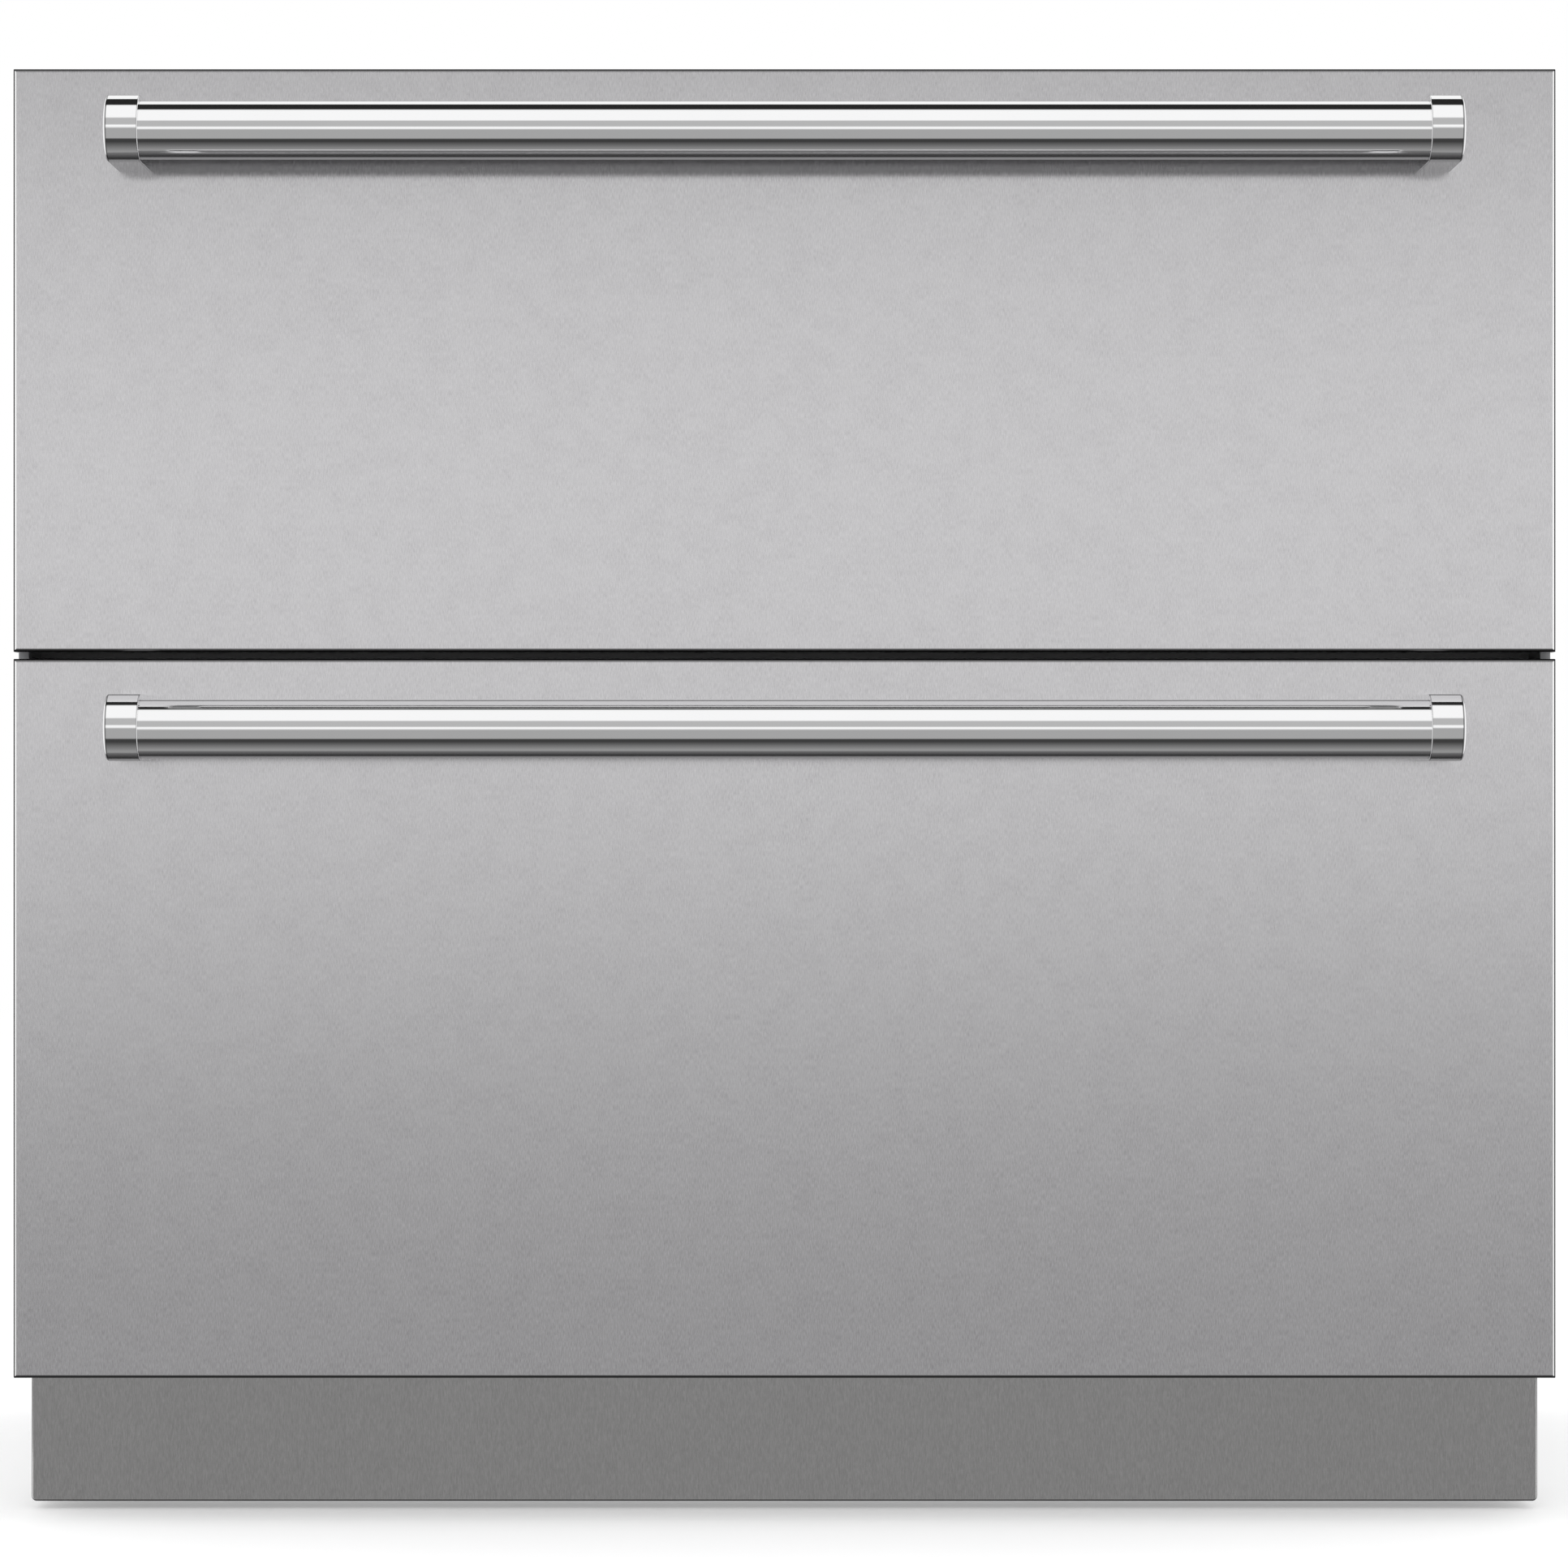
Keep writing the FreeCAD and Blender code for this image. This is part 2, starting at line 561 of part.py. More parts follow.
def top_cover():
    """Flat sheet on top of the insulation, from the face frame to the rear."""
    sheet = block(-SHELL_HALF, SHELL_HALF, FRAME_Y, SHELL_BACK, SHELL_TOP - SHEET, SHELL_TOP)
    return cut(sheet, [shank(place) for place in bracket_screws() + top_screws()])


def rear_panel():
    """Flat sheet behind the insulation, above the machine bay."""
    sheet = block(-INNER_HALF, INNER_HALF, SHELL_REAR, SHELL_BACK, BAY_TOP, SHELL_TOP - SHEET)
    return cut(sheet, [shank(place) for place in rear_screws()])


def bottom_panel():
    """Folded sheet under the insulation that also closes the machine bay."""
    outline = [(FRAME_BACK, SHELL_BOTTOM), (BAY_Y, SHELL_BOTTOM), (BAY_Y, BAY_TOP), (SHELL_REAR, BAY_TOP),
               (SHELL_REAR, BAY_TOP + SHEET), (BAY_Y - SHEET, BAY_TOP + SHEET),
               (BAY_Y - SHEET, SHELL_BOTTOM + SHEET), (FRAME_BACK, SHELL_BOTTOM + SHEET)]
    return prism_x(outline, -INNER_HALF, INNER_HALF)


def face_frame():
    """Steel frame around the two drawer openings, where the gaskets seal."""
    frame = block(-INNER_HALF, INNER_HALF, FRAME_Y, FRAME_BACK, SHELL_BOTTOM, SHELL_TOP - SHEET)
    openings = [block(-LINER_HALF, LINER_HALF, FRAME_Y, FRAME_BACK, low, high)
                for low, high in ((FLOOR_Z, MULLION_BOTTOM), (MULLION_TOP, CEILING_Z))]
    return cut(frame, openings)


def center_mullion():
    """Insulated bar between the two openings."""
    bar = block(-LINER_HALF, LINER_HALF, FRAME_BACK, FRAME_BACK + MULLION_DEPTH, MULLION_BOTTOM, MULLION_TOP)
    back = FRAME_BACK + MULLION_DEPTH
    return rounded(bar, MULLION_EDGE, lambda edge: runs_along(edge, 0) and lies_on(edge, 1, back))


def leg_places():
    """Name, x and y of each leg."""
    x = INNER_HALF - LEG_SIDE_INSET
    front, rear = FRONT_Y + LEG_FRONT_SETBACK, REAR_Y - LEG_REAR_SETBACK
    return [("front_left_leg", -x, front), ("front_right_leg", x, front),
            ("rear_left_leg", -x, rear), ("rear_right_leg", x, rear)]


def base_tray():
    """Floor of the machine bay, with a front flange and a threaded bush for each leg."""
    rear = COVER_Y - SHEET
    pieces = [block(-INNER_HALF, INNER_HALF, TRAY_Y, rear, TRAY_HEIGHT, TRAY_TOP),
              block(-INNER_HALF, INNER_HALF, TRAY_Y, TRAY_Y + TRAY_SHEET, TRAY_HEIGHT, SHELL_BOTTOM)]
    bores = []
    for _, x, y in leg_places():
        pieces.append(cylinder(BUSH_RADIUS, (x, y, TRAY_HEIGHT), (0, 0, 1), BUSH_HEIGHT))
        bores.append(cylinder(STUD_RADIUS + STUD_CLEARANCE, (x, y, TRAY_HEIGHT), (0, 0, 1), BUSH_HEIGHT))
    return cut(joined(pieces), bores)


def leveling_leg(x, y):
    """Round foot with a jam nut and a threaded stud."""
    foot = cylinder(FOOT_RADIUS, (x, y, 0), (0, 0, 1), FOOT_HEIGHT)
    foot = rounded(foot, FOOT_EDGE, lambda edge: lies_on(edge, 2, FOOT_HEIGHT))
    radius = NUT_ACROSS / math.sqrt(3)
    corners = [Vector(x + radius * math.cos(turn), y + radius * math.sin(turn), FOOT_HEIGHT)
               for turn in (math.radians(60 * index) for index in range(6))]
    nut = Part.Face(Part.makePolygon(corners + corners[:1])).extrude(Vector(0, 0, NUT_HEIGHT))
    stud = cylinder(STUD_RADIUS, (x, y, FOOT_HEIGHT), (0, 0, 1), STUD_LENGTH)
    return joined([foot, nut, stud])


def kickplate():
    """Folded stainless plate below the drawers."""
    front = block(-SHELL_HALF, SHELL_HALF, KICK_Y, KICK_BACK, KICK_FLOOR_GAP, SHELL_BOTTOM)
    front = rounded(front, KICK_CORNER,
                    lambda edge: runs_along(edge, 1) and lies_on(edge, 2, KICK_FLOOR_GAP))
    top = block(-INNER_HALF, INNER_HALF, KICK_BACK, KICK_BACK + KICK_FLANGE,
                SHELL_BOTTOM - KICK_SHEET, SHELL_BOTTOM)
    side = block(INNER_HALF - KICK_SHEET, INNER_HALF, KICK_BACK, TRAY_Y, TRAY_HEIGHT, SHELL_BOTTOM)
    return joined([front, top] + pair(side))


# ---- Screws ----------------------------------------------------------------------------
# A place is the point under the head, the direction that the head faces, and the shank's length.
def bracket_screws():
    """Two screws through each counter bracket into the top."""
    seat = SHELL_TOP + COUNTER_BRACKET_SHEET
    reach = COUNTER_BRACKET_SHEET + SHEET
    first = FRAME_Y + BRACKET_SCREW_FIRST
    rows = (first, first + BRACKET_SCREW_SPACING)
    return [((side * COUNTER_BRACKET_X, y, seat), (0, 0, 1), reach) for side in (-1, 1) for y in rows]


def top_screws():
    """Screws along both edges of the top."""
    length = SHELL_BACK - FRAME_Y
    rows = [FRAME_Y + length * share for share in TOP_SCREW_SHARES]
    return [((side * (SHELL_HALF - SCREW_EDGE), y, SHELL_TOP), (0, 0, 1), SHEET)
            for side in (-1, 1) for y in rows]


def rear_screws():
    """Screws along the top and bottom edges of the rear panel."""
    outer = INNER_HALF - SCREW_EDGE
    columns = (-outer, -outer / 3, outer / 3, outer)
    levels = (BAY_TOP + SCREW_EDGE, SHELL_TOP - SHEET - SCREW_EDGE)
    return [((x, SHELL_BACK, z), (0, 1, 0), SHEET) for x in columns for z in levels]


def cover_screws():
    """A screw near each corner of the machine cover."""
    x = INNER_HALF - COVER_LAP / 2
    levels = (TRAY_TOP + 2 * SCREW_EDGE, BAY_TOP - 2 * SCREW_EDGE)
    return [((side * x, COVER_Y + SHEET, z), (0, 1, 0), 2 * SHEET) for side in (-1, 1) for z in levels]


def shank(place):
    """The hole that a screw's shank passes through."""
    point, facing, length = place
    return cylinder(SCREW_SHANK_RADIUS + SCREW_FIT, point, [-value for value in facing], length)


def screw(place):
    """Domed head and plain shank."""
    point, facing, length = place
    head = cylinder(SCREW_HEAD_RADIUS, point, facing, SCREW_HEAD_HEIGHT)
    axis = [abs(value) for value in facing].index(1)
    crown = point[axis] + SCREW_HEAD_HEIGHT
    head = rounded(head, SCREW_DOME, lambda edge: lies_on(edge, axis, crown))
    return joined([head, cylinder(SCREW_SHANK_RADIUS, point, [-value for value in facing], length)])


def counter_bracket():
    """Right-hand tab with two holes ahead of the face frame for screws into the counter."""
    half = COUNTER_BRACKET_WIDTH / 2
    front, back = FRAME_Y - COUNTER_BRACKET_REACH, FRAME_Y + COUNTER_BRACKET_LAP
    tab = block(COUNTER_BRACKET_X - half, COUNTER_BRACKET_X + half, front, back,
                SHELL_TOP, SHELL_TOP + COUNTER_BRACKET_SHEET)
    tab = rounded(tab, COUNTER_BRACKET_CORNER, lambda edge: runs_along(edge, 2))
    holes = [cylinder(COUNTER_HOLE_RADIUS, (COUNTER_BRACKET_X, front + offset, SHELL_TOP), (0, 0, 1),
                      COUNTER_BRACKET_SHEET)
             for offset in (COUNTER_HOLE_FIRST, COUNTER_HOLE_FIRST + COUNTER_HOLE_SPACING)]
    return cut(tab, holes + [shank(place) for place in bracket_screws()])


# ---- Telescopic slides, racks and shaft -------------------------------------------------
def channel(back, tip, half_height, z):
    """A C-shaped slide member along Y, with its web at `back` and its flanges reaching to `tip`."""
    inner = back + math.copysign(SLIDE_SHEET, tip - back)
    inside = half_height - SLIDE_SHEET
    outline = [(back, z - half_height), (tip, z - half_height), (tip, z - inside), (inner, z - inside),
               (inner, z + inside), (tip, z + inside), (tip, z + half_height), (back, z + half_height)]
    return prism_y(outline, SLIDE_FRONT, SLIDE_REAR)


def slide_members(z):
    """Cabinet, intermediate and drawer members of the right-hand slide."""
    step = SLIDE_SHEET + SLIDE_CLEARANCE
    tip = SLIDE_INNER + SLIDE_SHEET + SLIDE_CLEARANCE
    cabinet = channel(LINER_HALF, tip, SLIDE_HEIGHT / 2, z)
    middle = channel(LINER_HALF - step, tip, SLIDE_HEIGHT / 2 - step, z)
    drawer = channel(SLIDE_INNER, LINER_HALF - 2 * step, SLIDE_HEIGHT / 2 - 2 * step, z)
    return cabinet, middle, drawer


def carrier_low(z):
    """Bottom of the drawer carrier: level with the slide's drawer member."""
    return z - SLIDE_HEIGHT / 2 + 2 * (SLIDE_SHEET + SLIDE_CLEARANCE)


def drawer_carrier(z):
    """Steel frame that joins the front, both slides and the shaft's bearings."""
    low, high = carrier_low(z), z + CARRIER_RISE
    inner = SLIDE_INNER - CARRIER_SHEET
    web = block(inner, SLIDE_INNER, BODY_BACK, CARRIER_REAR, low, high)
    flange = block(CARRIER_EDGE, SLIDE_INNER, BODY_BACK, CARRIER_REAR, high - CARRIER_SHEET, high)
    plate = block(CARRIER_EDGE, SLIDE_INNER, BODY_BACK, BODY_BACK + CARRIER_SHEET, low, high)
    bearing_x = SLIDE_INNER - BEARING_INSET
    axis_z = z + SHAFT_RISE
    bearing = block(bearing_x - BEARING_SHEET, bearing_x, SHAFT_Y - BEARING_LENGTH / 2,
                    SHAFT_Y + BEARING_LENGTH / 2, high, axis_z + BEARING_CAP)
    cross = block(-SLIDE_INNER, SLIDE_INNER, CARRIER_REAR - CARRIER_SHEET, CARRIER_REAR,
                  low, z + CARRIER_CROSS_RISE)
    pieces = [cross]
    for piece in (web, flange, plate, bearing):
        pieces += pair(piece)
    bore = cylinder(SHAFT_RADIUS + SHAFT_CLEARANCE, (-SLIDE_INNER, SHAFT_Y, axis_z), (1, 0, 0),
                    2 * SLIDE_INNER)
    return joined(pieces).cut(bore)


def involute(radius, base):
    """Involute function of the pressure angle at a radius."""
    angle = math.acos(base / radius)
    return math.tan(angle) - angle


def pinion(x0, axis_z):
    """Spur pinion on the shaft, with a tooth straight up where the rack has a space."""
    base = PITCH_RADIUS * math.cos(math.radians(PRESSURE_ANGLE))
    root = PITCH_RADIUS - PINION_DEDENDUM
    thickness = TOOTH_PITCH / 2 - BACKLASH / 2
    base_half = thickness / 2 / PITCH_RADIUS + involute(PITCH_RADIUS, base)
    flank = [(radius, base_half - involute(radius, base))
             for radius in (base, (base + TIP_RADIUS) / 2, TIP_RADIUS)]

    def point(radius, turn):
        return Vector(x0, SHAFT_Y + radius * math.sin(turn), axis_z + radius * math.cos(turn))

    def line(start, end):
        return Part.LineSegment(start, end).toShape()

    edges = []
    step = 2 * math.pi / PINION_TEETH
    for tooth in range(PINION_TEETH):
        middle = tooth * step
        rising = [point(radius, middle - half) for radius, half in flank]
        falling = [point(radius, middle + half) for radius, half in reversed(flank)]
        edges.append(line(point(root, middle - base_half), rising[0]))
        edges.append(Part.Arc(*rising).toShape())
        edges.append(Part.Arc(rising[2], point(TIP_RADIUS, middle), falling[0]).toShape())
        edges.append(Part.Arc(*falling).toShape())
        edges.append(line(falling[2], point(root, middle + base_half)))
        bottom = (point(root, middle + base_half), point(root, middle + step / 2),
                  point(root, middle + step - base_half))
        edges.append(Part.Arc(*bottom).toShape())
    solid = Part.Face(Part.Wire(edges)).extrude(Vector(PINION_WIDTH, 0, 0))
    return solid.cut(cylinder(SHAFT_RADIUS, (x0, SHAFT_Y, axis_z), (1, 0, 0), PINION_WIDTH))


def sync_shaft(z):
    """Cross shaft with a pinion at each end, so that both sides move together."""
    axis_z = z + SHAFT_RISE
    inner = SLIDE_INNER + PINION_SIDE_CLEARANCE
    outer = inner + PINION_WIDTH
    shaft = cylinder(SHAFT_RADIUS, (-outer, SHAFT_Y, axis_z), (1, 0, 0), 2 * outer)
    return [shaft, pinion(inner, axis_z), pinion(-outer, axis_z)]


def gear_rack(z):
    """Right-hand rack on the liner, with its teeth down towards the pinion."""
    pitch_z = z + SHAFT_RISE + PITCH_RADIUS
    front, rear = FRAME_BACK + RACK_SETBACK, SLIDE_REAR
    slope = math.tan(math.radians(PRESSURE_ANGLE))
    half = TOOTH_PITCH / 4 - BACKLASH / 4
    tip, root = pitch_z - RACK_ADDENDUM, pitch_z + RACK_DEDENDUM
    tip_half, root_half = half - RACK_ADDENDUM * slope, half + RACK_DEDENDUM * slope
    outline = [(front, root + RACK_BACKING), (front, root)]
    first = math.ceil((front + root_half - SHAFT_Y) / TOOTH_PITCH - 0.5)
    last = math.floor((rear - root_half - SHAFT_Y) / TOOTH_PITCH - 0.5)
    for index in range(first, last + 1):
        middle = SHAFT_Y + (index + 0.5) * TOOTH_PITCH
        outline += [(middle - root_half, root), (middle - tip_half, tip),
                    (middle + tip_half, tip), (middle + root_half, root)]
    outline += [(rear, root), (rear, root + RACK_BACKING)]
    return prism_x(outline, LINER_HALF - RACK_WIDTH, LINER_HALF)


# ---- Bins and dividers ------------------------------------------------------------------
def bin_outline(floor, top, stepped, inset):
    """Y-Z outline of a bin, drawn in by `inset` everywhere but at its top."""
    front, rear, floor = BIN_FRONT + inset, BIN_REAR - inset, floor + inset
    if not stepped:
        return [(front, floor), (rear, floor), (rear, top), (front, top)]
    step_y = HUMP_Y - BIN_HUMP_CLEARANCE - inset
    step_z = HUMP_TOP + BIN_HUMP_CLEARANCE + inset
    return [(front, floor), (step_y, floor), (step_y, step_z), (rear, step_z), (rear, top), (front, top)]


def storage_bin(floor, top, stepped):
    """Moulded bin that hangs on the carrier by its rim."""
    def hollow(inset, corner):
        half = BIN_HALF - inset
        solid = prism_x(bin_outline(floor, top, stepped, inset), -half, half)
        return rounded(solid, corner, lambda edge: not lies_on(edge, 2, top))

    shell = hollow(0, BIN_CORNER)
    rim_half = BIN_HALF + RIM_WIDTH
    rim = block(-rim_half, rim_half, BIN_FRONT - RIM_FRONT, BIN_REAR + RIM_REAR, top, top + RIM_THICKNESS)
    rim = rounded(rim, RIM_FRONT, lambda edge: runs_along(edge, 2))
    mouth = rounded(block(-BIN_HALF + BIN_WALL, BIN_HALF - BIN_WALL, BIN_FRONT + BIN_WALL,
                          BIN_REAR - BIN_WALL, top - BIN_CORNER, top + RIM_THICKNESS),
                    BIN_CORNER - BIN_WALL, lambda edge: runs_along(edge, 2))
    return cut(joined([shell, rim]), [hollow(BIN_WALL, BIN_CORNER - BIN_WALL), mouth])


def divider(floor, top, stepped):
    """Clear plate across the bin, with a cap that slides on the bin's rim."""
    half = DIVIDER_THICKNESS / 2
    outline = bin_outline(floor, top + RIM_THICKNESS + REST_CLEARANCE, stepped, BIN_WALL + DIVIDER_CLEARANCE)
    plate = prism_x(outline, -half, half)
    plate = rounded(plate, BIN_CORNER - BIN_WALL,
                    lambda edge: runs_along(edge, 0) and not lies_on(edge, 2, outline[-1][1]))
    cap_z = top + RIM_THICKNESS + REST_CLEARANCE
    cap = block(-DIVIDER_CAP_WIDTH / 2, DIVIDER_CAP_WIDTH / 2, BIN_FRONT - RIM_FRONT / 2,
                BIN_REAR + RIM_REAR / 2, cap_z, cap_z + DIVIDER_CAP_HEIGHT)
    return joined([plate, cap])


# ---- Cold side --------------------------------------------------------------------------
def fan(centre, axis, radius, depth, hub_radius, shaft_radius):
    """Axial fan: a hub with a shaft hole and pitched blades, from `centre` along `axis`."""
    hub = Part.makeCylinder(hub_radius, depth, Vector(0, 0, 0), Vector(0, 0, 1))
    chord = BLADE_FILL * depth / math.sin(math.radians(BLADE_PITCH))
    blade = block(hub_radius * BLADE_ROOT, radius, -chord / 2, chord / 2,
                  -BLADE_THICKNESS / 2, BLADE_THICKNESS / 2)
    blade.rotate(Vector(0, 0, 0), Vector(1, 0, 0), BLADE_PITCH)
    blade.translate(Vector(0, 0, depth / 2))
    swept = Part.makeCylinder(radius, depth, Vector(0, 0, 0), Vector(0, 0, 1))
    blade = blade.common(swept)
    blades = []
    for index in range(FAN_BLADES):
        turned = blade.copy()
        turned.rotate(Vector(0, 0, 0), Vector(0, 0, 1), 360 / FAN_BLADES * index)
        blades.append(turned)
    hole = Part.makeCylinder(shaft_radius, depth, Vector(0, 0, 0), Vector(0, 0, 1))
    solid = joined([hub] + blades).cut(hole)
    solid.Placement = FreeCAD.Placement(Vector(*centre), FreeCAD.Rotation(Vector(0, 0, 1), Vector(*axis)))
    return solid


def cold_fan_z():
    """Height of the evaporator fan's axis."""
    return CEILING_Z - COLD_FAN_DROP


def evaporator_cover():
    """Moulded air duct on the rear wall, with a fan grille and outlet slots."""
    half = LINER_HALF - COVER_SIDE_GAP
    low, high = HUMP_TOP + COVER_EDGE_GAP, CEILING_Z - COVER_EDGE_GAP
    outside = block(-half, half, COLD_COVER_Y, LINER_BACK, low, high)
    outside = rounded(outside, COVER_EDGE, lambda edge: lies_on(edge, 1, COLD_COVER_Y))
    inside = block(-half + COVER_WALL, half - COVER_WALL, COLD_COVER_Y + COVER_WALL, LINER_BACK,
                   low + COVER_WALL, high - COVER_WALL)
    fan_z = cold_fan_z()
    opening = cylinder(GRILLE_RADIUS, (0, COLD_COVER_Y, fan_z), (0, 1, 0), COVER_WALL)
    step = 2 * GRILLE_RADIUS / (GRILLE_BARS + 1)
    bars = [block(-GRILLE_RADIUS, GRILLE_RADIUS, COLD_COVER_Y, COLD_COVER_Y + COVER_WALL,
                  fan_z - GRILLE_RADIUS + step * (index + 1) - GRILLE_BAR / 2,
                  fan_z - GRILLE_RADIUS + step * (index + 1) + GRILLE_BAR / 2)
            for index in range(GRILLE_BARS)]
    pitch = 2 * half / (OUTLET_SLOTS + 1)
    slot_z = MULLION_TOP + OUTLET_RISE
    middles = [-half + pitch * (index + 1) for index in range(OUTLET_SLOTS)]
    slots = [block(middle - OUTLET_LENGTH / 2, middle + OUTLET_LENGTH / 2,
                   COLD_COVER_Y, COLD_COVER_Y + COVER_WALL, slot_z, slot_z + OUTLET_HEIGHT)
             for middle in middles]
    return cut(outside, [inside, cut(opening, bars)] + slots)


def evaporator():
    """Finned coil on two brackets behind the cover."""
    half = EVAPORATOR_WIDTH / 2
    back = LINER_BACK - EVAPORATOR_STANDOFF
    front = back - EVAPORATOR_DEPTH
    low = MULLION_TOP + EVAPORATOR_RISE
    high = low + EVAPORATOR_HEIGHT
    pitch = (EVAPORATOR_WIDTH - FIN_THICKNESS) / (EVAPORATOR_FINS - 1)
    pieces = [block(-half + pitch * index, -half + pitch * index + FIN_THICKNESS, front, back, low, high)
              for index in range(EVAPORATOR_FINS)]
    row = EVAPORATOR_HEIGHT / EVAPORATOR_ROWS
    pieces += [cylinder(EVAPORATOR_TUBE, (-half, (front + back) / 2, low + row * (index + 0.5)), (1, 0, 0),
                        EVAPORATOR_WIDTH)
               for index in range(EVAPORATOR_ROWS)]
    foot = block(half - FIN_THICKNESS, half + EVAPORATOR_STANDOFF, back - FIN_THICKNESS, LINER_BACK,
                 low, high)
    return joined(pieces + pair(foot))


def evaporator_fan_motor():
    """Motor on a plate against the rear wall, with its shaft forward."""
    z = cold_fan_z()
    fan_back = COLD_COVER_Y + COVER_WALL + COLD_FAN_CLEARANCE + COLD_FAN_DEPTH
    motor_y = fan_back + COLD_MOTOR_GAP
    motor = cylinder(COLD_MOTOR_RADIUS, (0, motor_y, z), (0, 1, 0), COLD_MOTOR_DEPTH)
    plate = block(-2 * COLD_MOTOR_RADIUS, 2 * COLD_MOTOR_RADIUS, motor_y + COLD_MOTOR_DEPTH, LINER_BACK,
                  z - COLD_MOTOR_RADIUS, z + COLD_MOTOR_RADIUS)
    shaft = cylinder(COLD_SHAFT_RADIUS, (0, fan_back - COLD_FAN_DEPTH, z), (0, 1, 0),
                     COLD_FAN_DEPTH + COLD_MOTOR_GAP)
    return joined([motor, plate, shaft])


def evaporator_fan():
    """Fan behind the cover's grille."""
    front = COLD_COVER_Y + COVER_WALL + COLD_FAN_CLEARANCE
    return fan((0, front, cold_fan_z()), (0, 1, 0), COLD_FAN_RADIUS, COLD_FAN_DEPTH, COLD_HUB_RADIUS,
               COLD_SHAFT_RADIUS + FAN_SHAFT_CLEARANCE)


def light_lens():
    """Lamp bar on the ceiling."""
    front = FRAME_BACK + LAMP_SETBACK
    bar = block(-LAMP_LENGTH / 2, LAMP_LENGTH / 2, front, front + LAMP_DEPTH,
                CEILING_Z - LAMP_HEIGHT, CEILING_Z)
    return rounded(bar, LAMP_EDGE, lambda edge: lies_on(edge, 2, CEILING_Z - LAMP_HEIGHT))


def button_places():
    """Name and x of each control button."""
    return [("colder_button", -BUTTON_SPACING / 2), ("warmer_button", BUTTON_SPACING / 2)]


def button_z():
    """Height of the control buttons."""
    return CEILING_Z - PANEL_HEIGHT / 2


def control_panel():
    """Housing on the ceiling behind the face frame, with a bore for each button."""
    front = FRAME_BACK + PANEL_SETBACK
    back = front + PANEL_DEPTH
    low = CEILING_Z - PANEL_HEIGHT
    outline = [(front, low), (back - PANEL_SLOPE, low), (back, low + PANEL_SLOPE), (back, CEILING_Z),
               (front, CEILING_Z)]
    housing = prism_x(outline, -PANEL_WIDTH / 2, PANEL_WIDTH / 2)
    depth = BUTTON_DEPTH + BUTTON_TRAVEL + REST_CLEARANCE
    bores = [cylinder(BUTTON_RADIUS + BUTTON_CLEARANCE, (x, front, button_z()), (0, 1, 0), depth)
             for _, x in button_places()]
    return cut(housing, bores)


def button(x):
    """Round button that stands out of the control panel."""
    start = FRAME_BACK + PANEL_SETBACK - BUTTON_STAND
    body = cylinder(BUTTON_RADIUS, (x, start, button_z()), (0, 1, 0), BUTTON_STAND + BUTTON_DEPTH)
    return rounded(body, BUTTON_EDGE, lambda edge: lies_on(edge, 1, start))


# ---- Warm side --------------------------------------------------------------------------
def compressor():
    """Welded steel shell on a foot plate, with rubber grommets and a relay cover."""
    x, y = COMPRESSOR_X, MACHINE_Y
    plate_z = TRAY_TOP + GROMMET_HEIGHT
    half = FOOT_PLATE_SIZE / 2
    plate = block(x - half, x + half, y - half, y + half, plate_z, plate_z + FOOT_PLATE)
    shell_z = plate_z + FOOT_PLATE
    shell = cylinder(COMPRESSOR_RADIUS, (x, y, shell_z), (0, 0, 1), COMPRESSOR_HEIGHT)
    shell = shell.makeFillet(COMPRESSOR_DOME, [edge for edge in shell.Edges
                                               if lies_on(edge, 2, shell_z + COMPRESSOR_HEIGHT)])
    seam = cylinder(COMPRESSOR_RADIUS + COMPRESSOR_SEAM, (x, y, shell_z + COMPRESSOR_HEIGHT / 2), (0, 0, 1),
                    COMPRESSOR_SEAM)
    relay_z = shell_z + RELAY_RISE
    relay = block(x + COMPRESSOR_RADIUS - RELAY_LAP, x + COMPRESSOR_RADIUS + RELAY_DEPTH, y - RELAY_WIDTH / 2,
                  y + RELAY_WIDTH / 2, relay_z, relay_z + RELAY_HEIGHT)
    relay = relay.cut(cylinder(COMPRESSOR_RADIUS, (x, y, shell_z), (0, 0, 1), COMPRESSOR_HEIGHT))
    body = joined([plate, shell, seam])
    offset = GROMMET_SPACING / 2
    grommets = [cylinder(GROMMET_RADIUS, (x + dx, y + dy, TRAY_TOP), (0, 0, 1), GROMMET_HEIGHT)
                for dx in (-offset, offset) for dy in (-offset, offset)]
    return [body, relay] + grommets


def condenser():
    """Finned coil on the tray, with a shroud plate towards the fan."""
    x0, x1 = CONDENSER_X - CONDENSER_THICKNESS / 2, CONDENSER_X + CONDENSER_THICKNESS / 2
    y0, y1 = MACHINE_Y - CONDENSER_LENGTH / 2, MACHINE_Y + CONDENSER_LENGTH / 2
    low, high = TRAY_TOP, TRAY_TOP + CONDENSER_HEIGHT
    pitch = (CONDENSER_LENGTH - FIN_THICKNESS) / (CONDENSER_FINS - 1)
    pieces = [block(x0, x1, y0 + pitch * index, y0 + pitch * index + FIN_THICKNESS, low, high)
              for index in range(CONDENSER_FINS)]
    row = CONDENSER_HEIGHT / CONDENSER_ROWS
    pieces += [cylinder(CONDENSER_TUBE, (CONDENSER_X, y0, low + row * (index + 0.5)), (0, 1, 0),
                        CONDENSER_LENGTH)
               for index in range(CONDENSER_ROWS)]
    coil = joined(pieces)
    shroud = block(x1, x1 + SHROUD_SHEET, y0, y1, low, high)
    fan_z = low + CONDENSER_HEIGHT / 2
    hole = cylinder(WARM_FAN_RADIUS + WARM_FAN_CLEARANCE, (x1, MACHINE_Y, fan_z), (1, 0, 0), SHROUD_SHEET)
    return [coil, shroud.cut(hole)]


def warm_fan_start():
    """X and z of the condenser fan's near face."""
    return WARM_FAN_X, TRAY_TOP + CONDENSER_HEIGHT / 2


